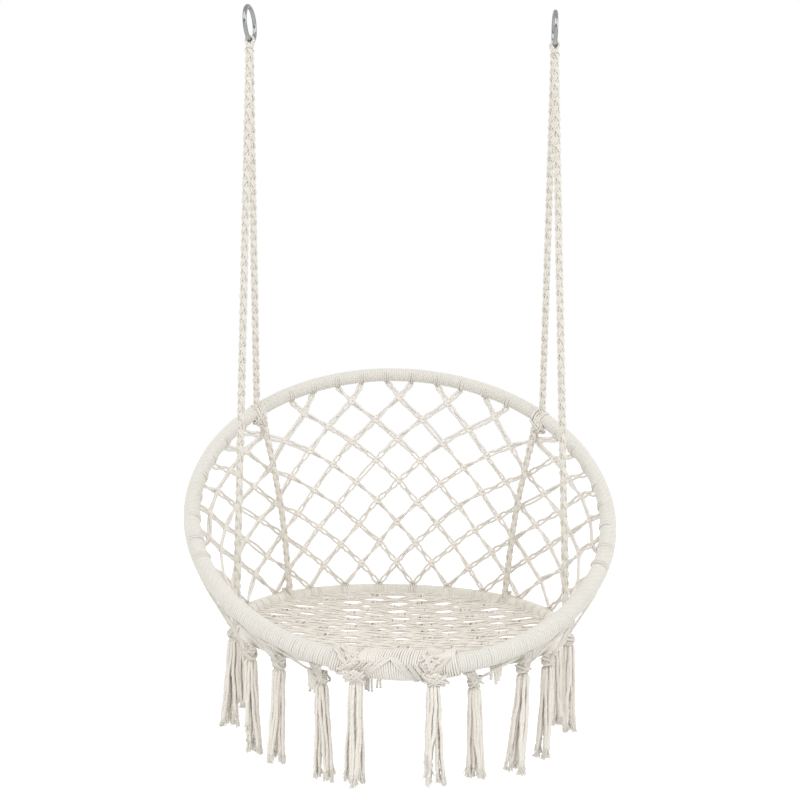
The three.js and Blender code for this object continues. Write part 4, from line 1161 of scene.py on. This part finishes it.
tasselKnotPlan = {"knot": {"size": (25.0, 23.0, 18.0), "cord": 2.0, "turns": 3, "crossings": 5},
                  "heads": {3: (-58, -48), 4: (-45.2, -33.7), 5: (-31, -20), 8: (15, 26), 9: (30.5, 41.5),
                            10: (44.5, 55.5)},
                  "swagCords": 5, "swagCord": 1.9, "swagSpread": 4.1, "swagTurns": (-160, -120, -80, -45),
                  "swagSeat": 0.7, "swagBow": 1.2, "swagBends": (0.3, 0.7), "swagSteps": 26, "jitter": 0.35,
                  "tie": {"rise": 3.0, "spread": 1.9, "out": 6.0, "end": 3.0},
                  "bits": {5: ((-21, 26), (-15, 34), (-11, 30)), 8: ((31, 22), (36, 30), (41, 25), (46, 18))},
                  "bitCord": 2.6, "bitTwins": (-1.8, 1.8), "bitWander": 2.0, "bitRises": (8, 20),
                  "bitRoot": 4.0, "bitPoints": 14}


def swag(yarn, head, centre, outward):
    plan, tie = tasselKnotPlan, tasselKnotPlan["tie"]
    share = centred(plan["swagCords"])
    angle = head + backHoop.step(share * plan["swagSpread"] * mm)
    reach = backHoop.wrap + plan["swagCord"] * plan["swagSeat"] * mm
    stations = [backHoop.around(angle, np.full(len(share), float(turn)), reach) for turn in plan["swagTurns"]]
    sideways = unit(backHoop.point(head + 1) - backHoop.point(head))
    tied = centre + up * tie["rise"] * mm + np.outer(share * tie["spread"] * mm, sideways)
    tied = tied + outward * tie["out"] * mm
    towards = unit(centre - backHoop.point(head)) * tie["end"] * mm
    hung = [lerp(stations[-1], tied, part) + outward * plan["swagBow"] * mm for part in plan["swagBends"]]
    paths = np.stack(stations + hung + [tied, tied + towards], axis=1)
    jitter = dice.normal(0, plan["jitter"], paths.shape) * mm
    yarn.layPlied(spline(paths + jitter, plan["swagSteps"]), plan["swagCord"])


def tasselKnot(number):
    plan = tasselKnotPlan
    name = f"tassel_knot_{number}"
    low, high = boxOf(name)
    centre = (low + high) / 2
    outward = unit((centre - seatHoop.centre) * level)
    yarn = Yarn()
    denseKnot(yarn, centre, outward, **plan["knot"])
    yarn.build(name, "cords", cotton)
    if number not in plan["heads"]:
        return
    yarn = Yarn()
    for head in plan["heads"][number]:
        swag(yarn, head, centre, outward)
    sideways = unit(np.cross(up, outward))
    for shift, size in plan["bits"].get(number, ()):
        top = centre + sideways * shift * mm + up * plan["bitRises"][shift > 0] * mm
        for twin in plan["bitTwins"]:
            foot = top + sideways * (twin + dice.normal(0, plan["bitWander"])) * mm - up * size * mm
            root = top - outward * plan["bitRoot"] * mm
            bit = [root, top + sideways * twin * mm, lerp(top, foot, 0.5), foot]
            yarn.layPlied(spline(bit, plan["bitPoints"]), plan["bitCord"])
    yarn.build(f"tassel_cords_{number}", "bunches", cotton)


for number in range(1, len(tasselPlan["feet"]) + 1):
    tassel(number)
    if f"tassel_knot_{number}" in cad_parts:
        tasselKnot(number)
print("tassels made")

# Floor, lights and sky
stagePlan = {"floorDrop": 450.0, "floorSize": 16000.0, "floor": ((0.9, 0.9, 0.9), (0.93, 0.93, 0.93)),
             "roughness": 0.9, "speckle": 3.0, "mirroredFloor": (0.52, 0.53, 0.52), "glow": 0.45,
             "sky": (1.03, 1.03, 1.03), "white": (1.0, 1.0, 1.0), "aim": (0.0, -50.0, -900.0),
             "lamps": {"key": {"at": (-1100.0, -1900.0, 1300.0), "size": 1600.0, "power": 9.0},
                       "fill": {"at": (1900.0, -1200.0, 400.0), "size": 1800.0, "power": 6.0}},
             "mirrored": [(0.0, (0.55, 0.56, 0.54)), (0.45, (0.4, 0.4, 0.4)), (0.53, (0.04, 0.04, 0.04)),
                          (0.6, (0.75, 0.75, 0.75)), (0.8, (0.42, 0.42, 0.42))]}


def stageFloor(plan):
    made = Finish("floor_paper", {"Roughness": plan["roughness"]})
    colour = made.mixed(made.noise(made.node("TexCoord", output="Object"), plan["speckle"]), *plan["floor"])
    mirrored = made.node("LightPath", output="Is Glossy Ray")
    made.set(Base_Color=made.mixed(mirrored, colour, plan["mirroredFloor"]))
    paper = Wire(made.tree, made.shader.outputs[0])
    glow = made.node("Emission", inputs={"Color": (*plan["white"], 1), "Strength": plan["glow"]})
    lit = made.node("AddShader", inputs={0: paper, 1: glow})
    seen = made.node("LightPath", output="Is Camera Ray")
    made.feed(made.tree.nodes["Material Output"].inputs[0],
              made.node("MixShader", inputs={0: seen, 1: paper, 2: lit}))
    half, bottom = plan["floorSize"] * mm, solidBox[0][2] - plan["floorDrop"] * mm
    corners = [(x * half, y * half, bottom) for x, y in ((-1, -1), (1, -1), (1, 1), (-1, 1))]
    mesh = bpy.data.meshes.new("floor")
    mesh.from_pydata(corners, [], [(0, 1, 2, 3)])
    mesh.materials.append(made.material)
    placed("floor", mesh)


def stageSky(plan):
    world = bpy.data.worlds.new("studio")
    bpy.context.scene.world = world
    world.use_nodes = True
    sky = Nodes(world.node_tree)
    direction = sky.node("TexCoord", output="Generated")
    height = sky.node("SeparateXYZ", inputs={0: direction}, output=2)
    mirrored = sky.node("ValToRGB", {"stops": plan["mirrored"]}, {0: height * 0.5 + 0.5})
    seen, glossy = (sky.node("LightPath", output=f"Is {kind} Ray") for kind in ("Camera", "Glossy"))
    colour = sky.mixed(seen, sky.mixed(glossy, plan["sky"], mirrored), plan["white"])
    sky.feed(world.node_tree.nodes["Background"].inputs["Color"], colour)


def stageLamps(plan):
    aim = Vector([c * mm for c in plan["aim"]])
    for name, lamp in plan["lamps"].items():
        data = bpy.data.lights.new(name, "AREA")
        data.size, data.energy = lamp["size"] * mm, lamp["power"]
        made = placed(name, data)
        made.location = [c * mm for c in lamp["at"]]
        made.rotation_euler = (aim - made.location).to_track_quat("-Z", "Y").to_euler()


stageFloor(stagePlan)
stageSky(stagePlan)
stageLamps(stagePlan)
bpy.context.scene.view_settings.view_transform = "Standard"
print("floor, sky and lamps made")

print("solid box", [[round(v, 4) for v in c] for c in solidBox])
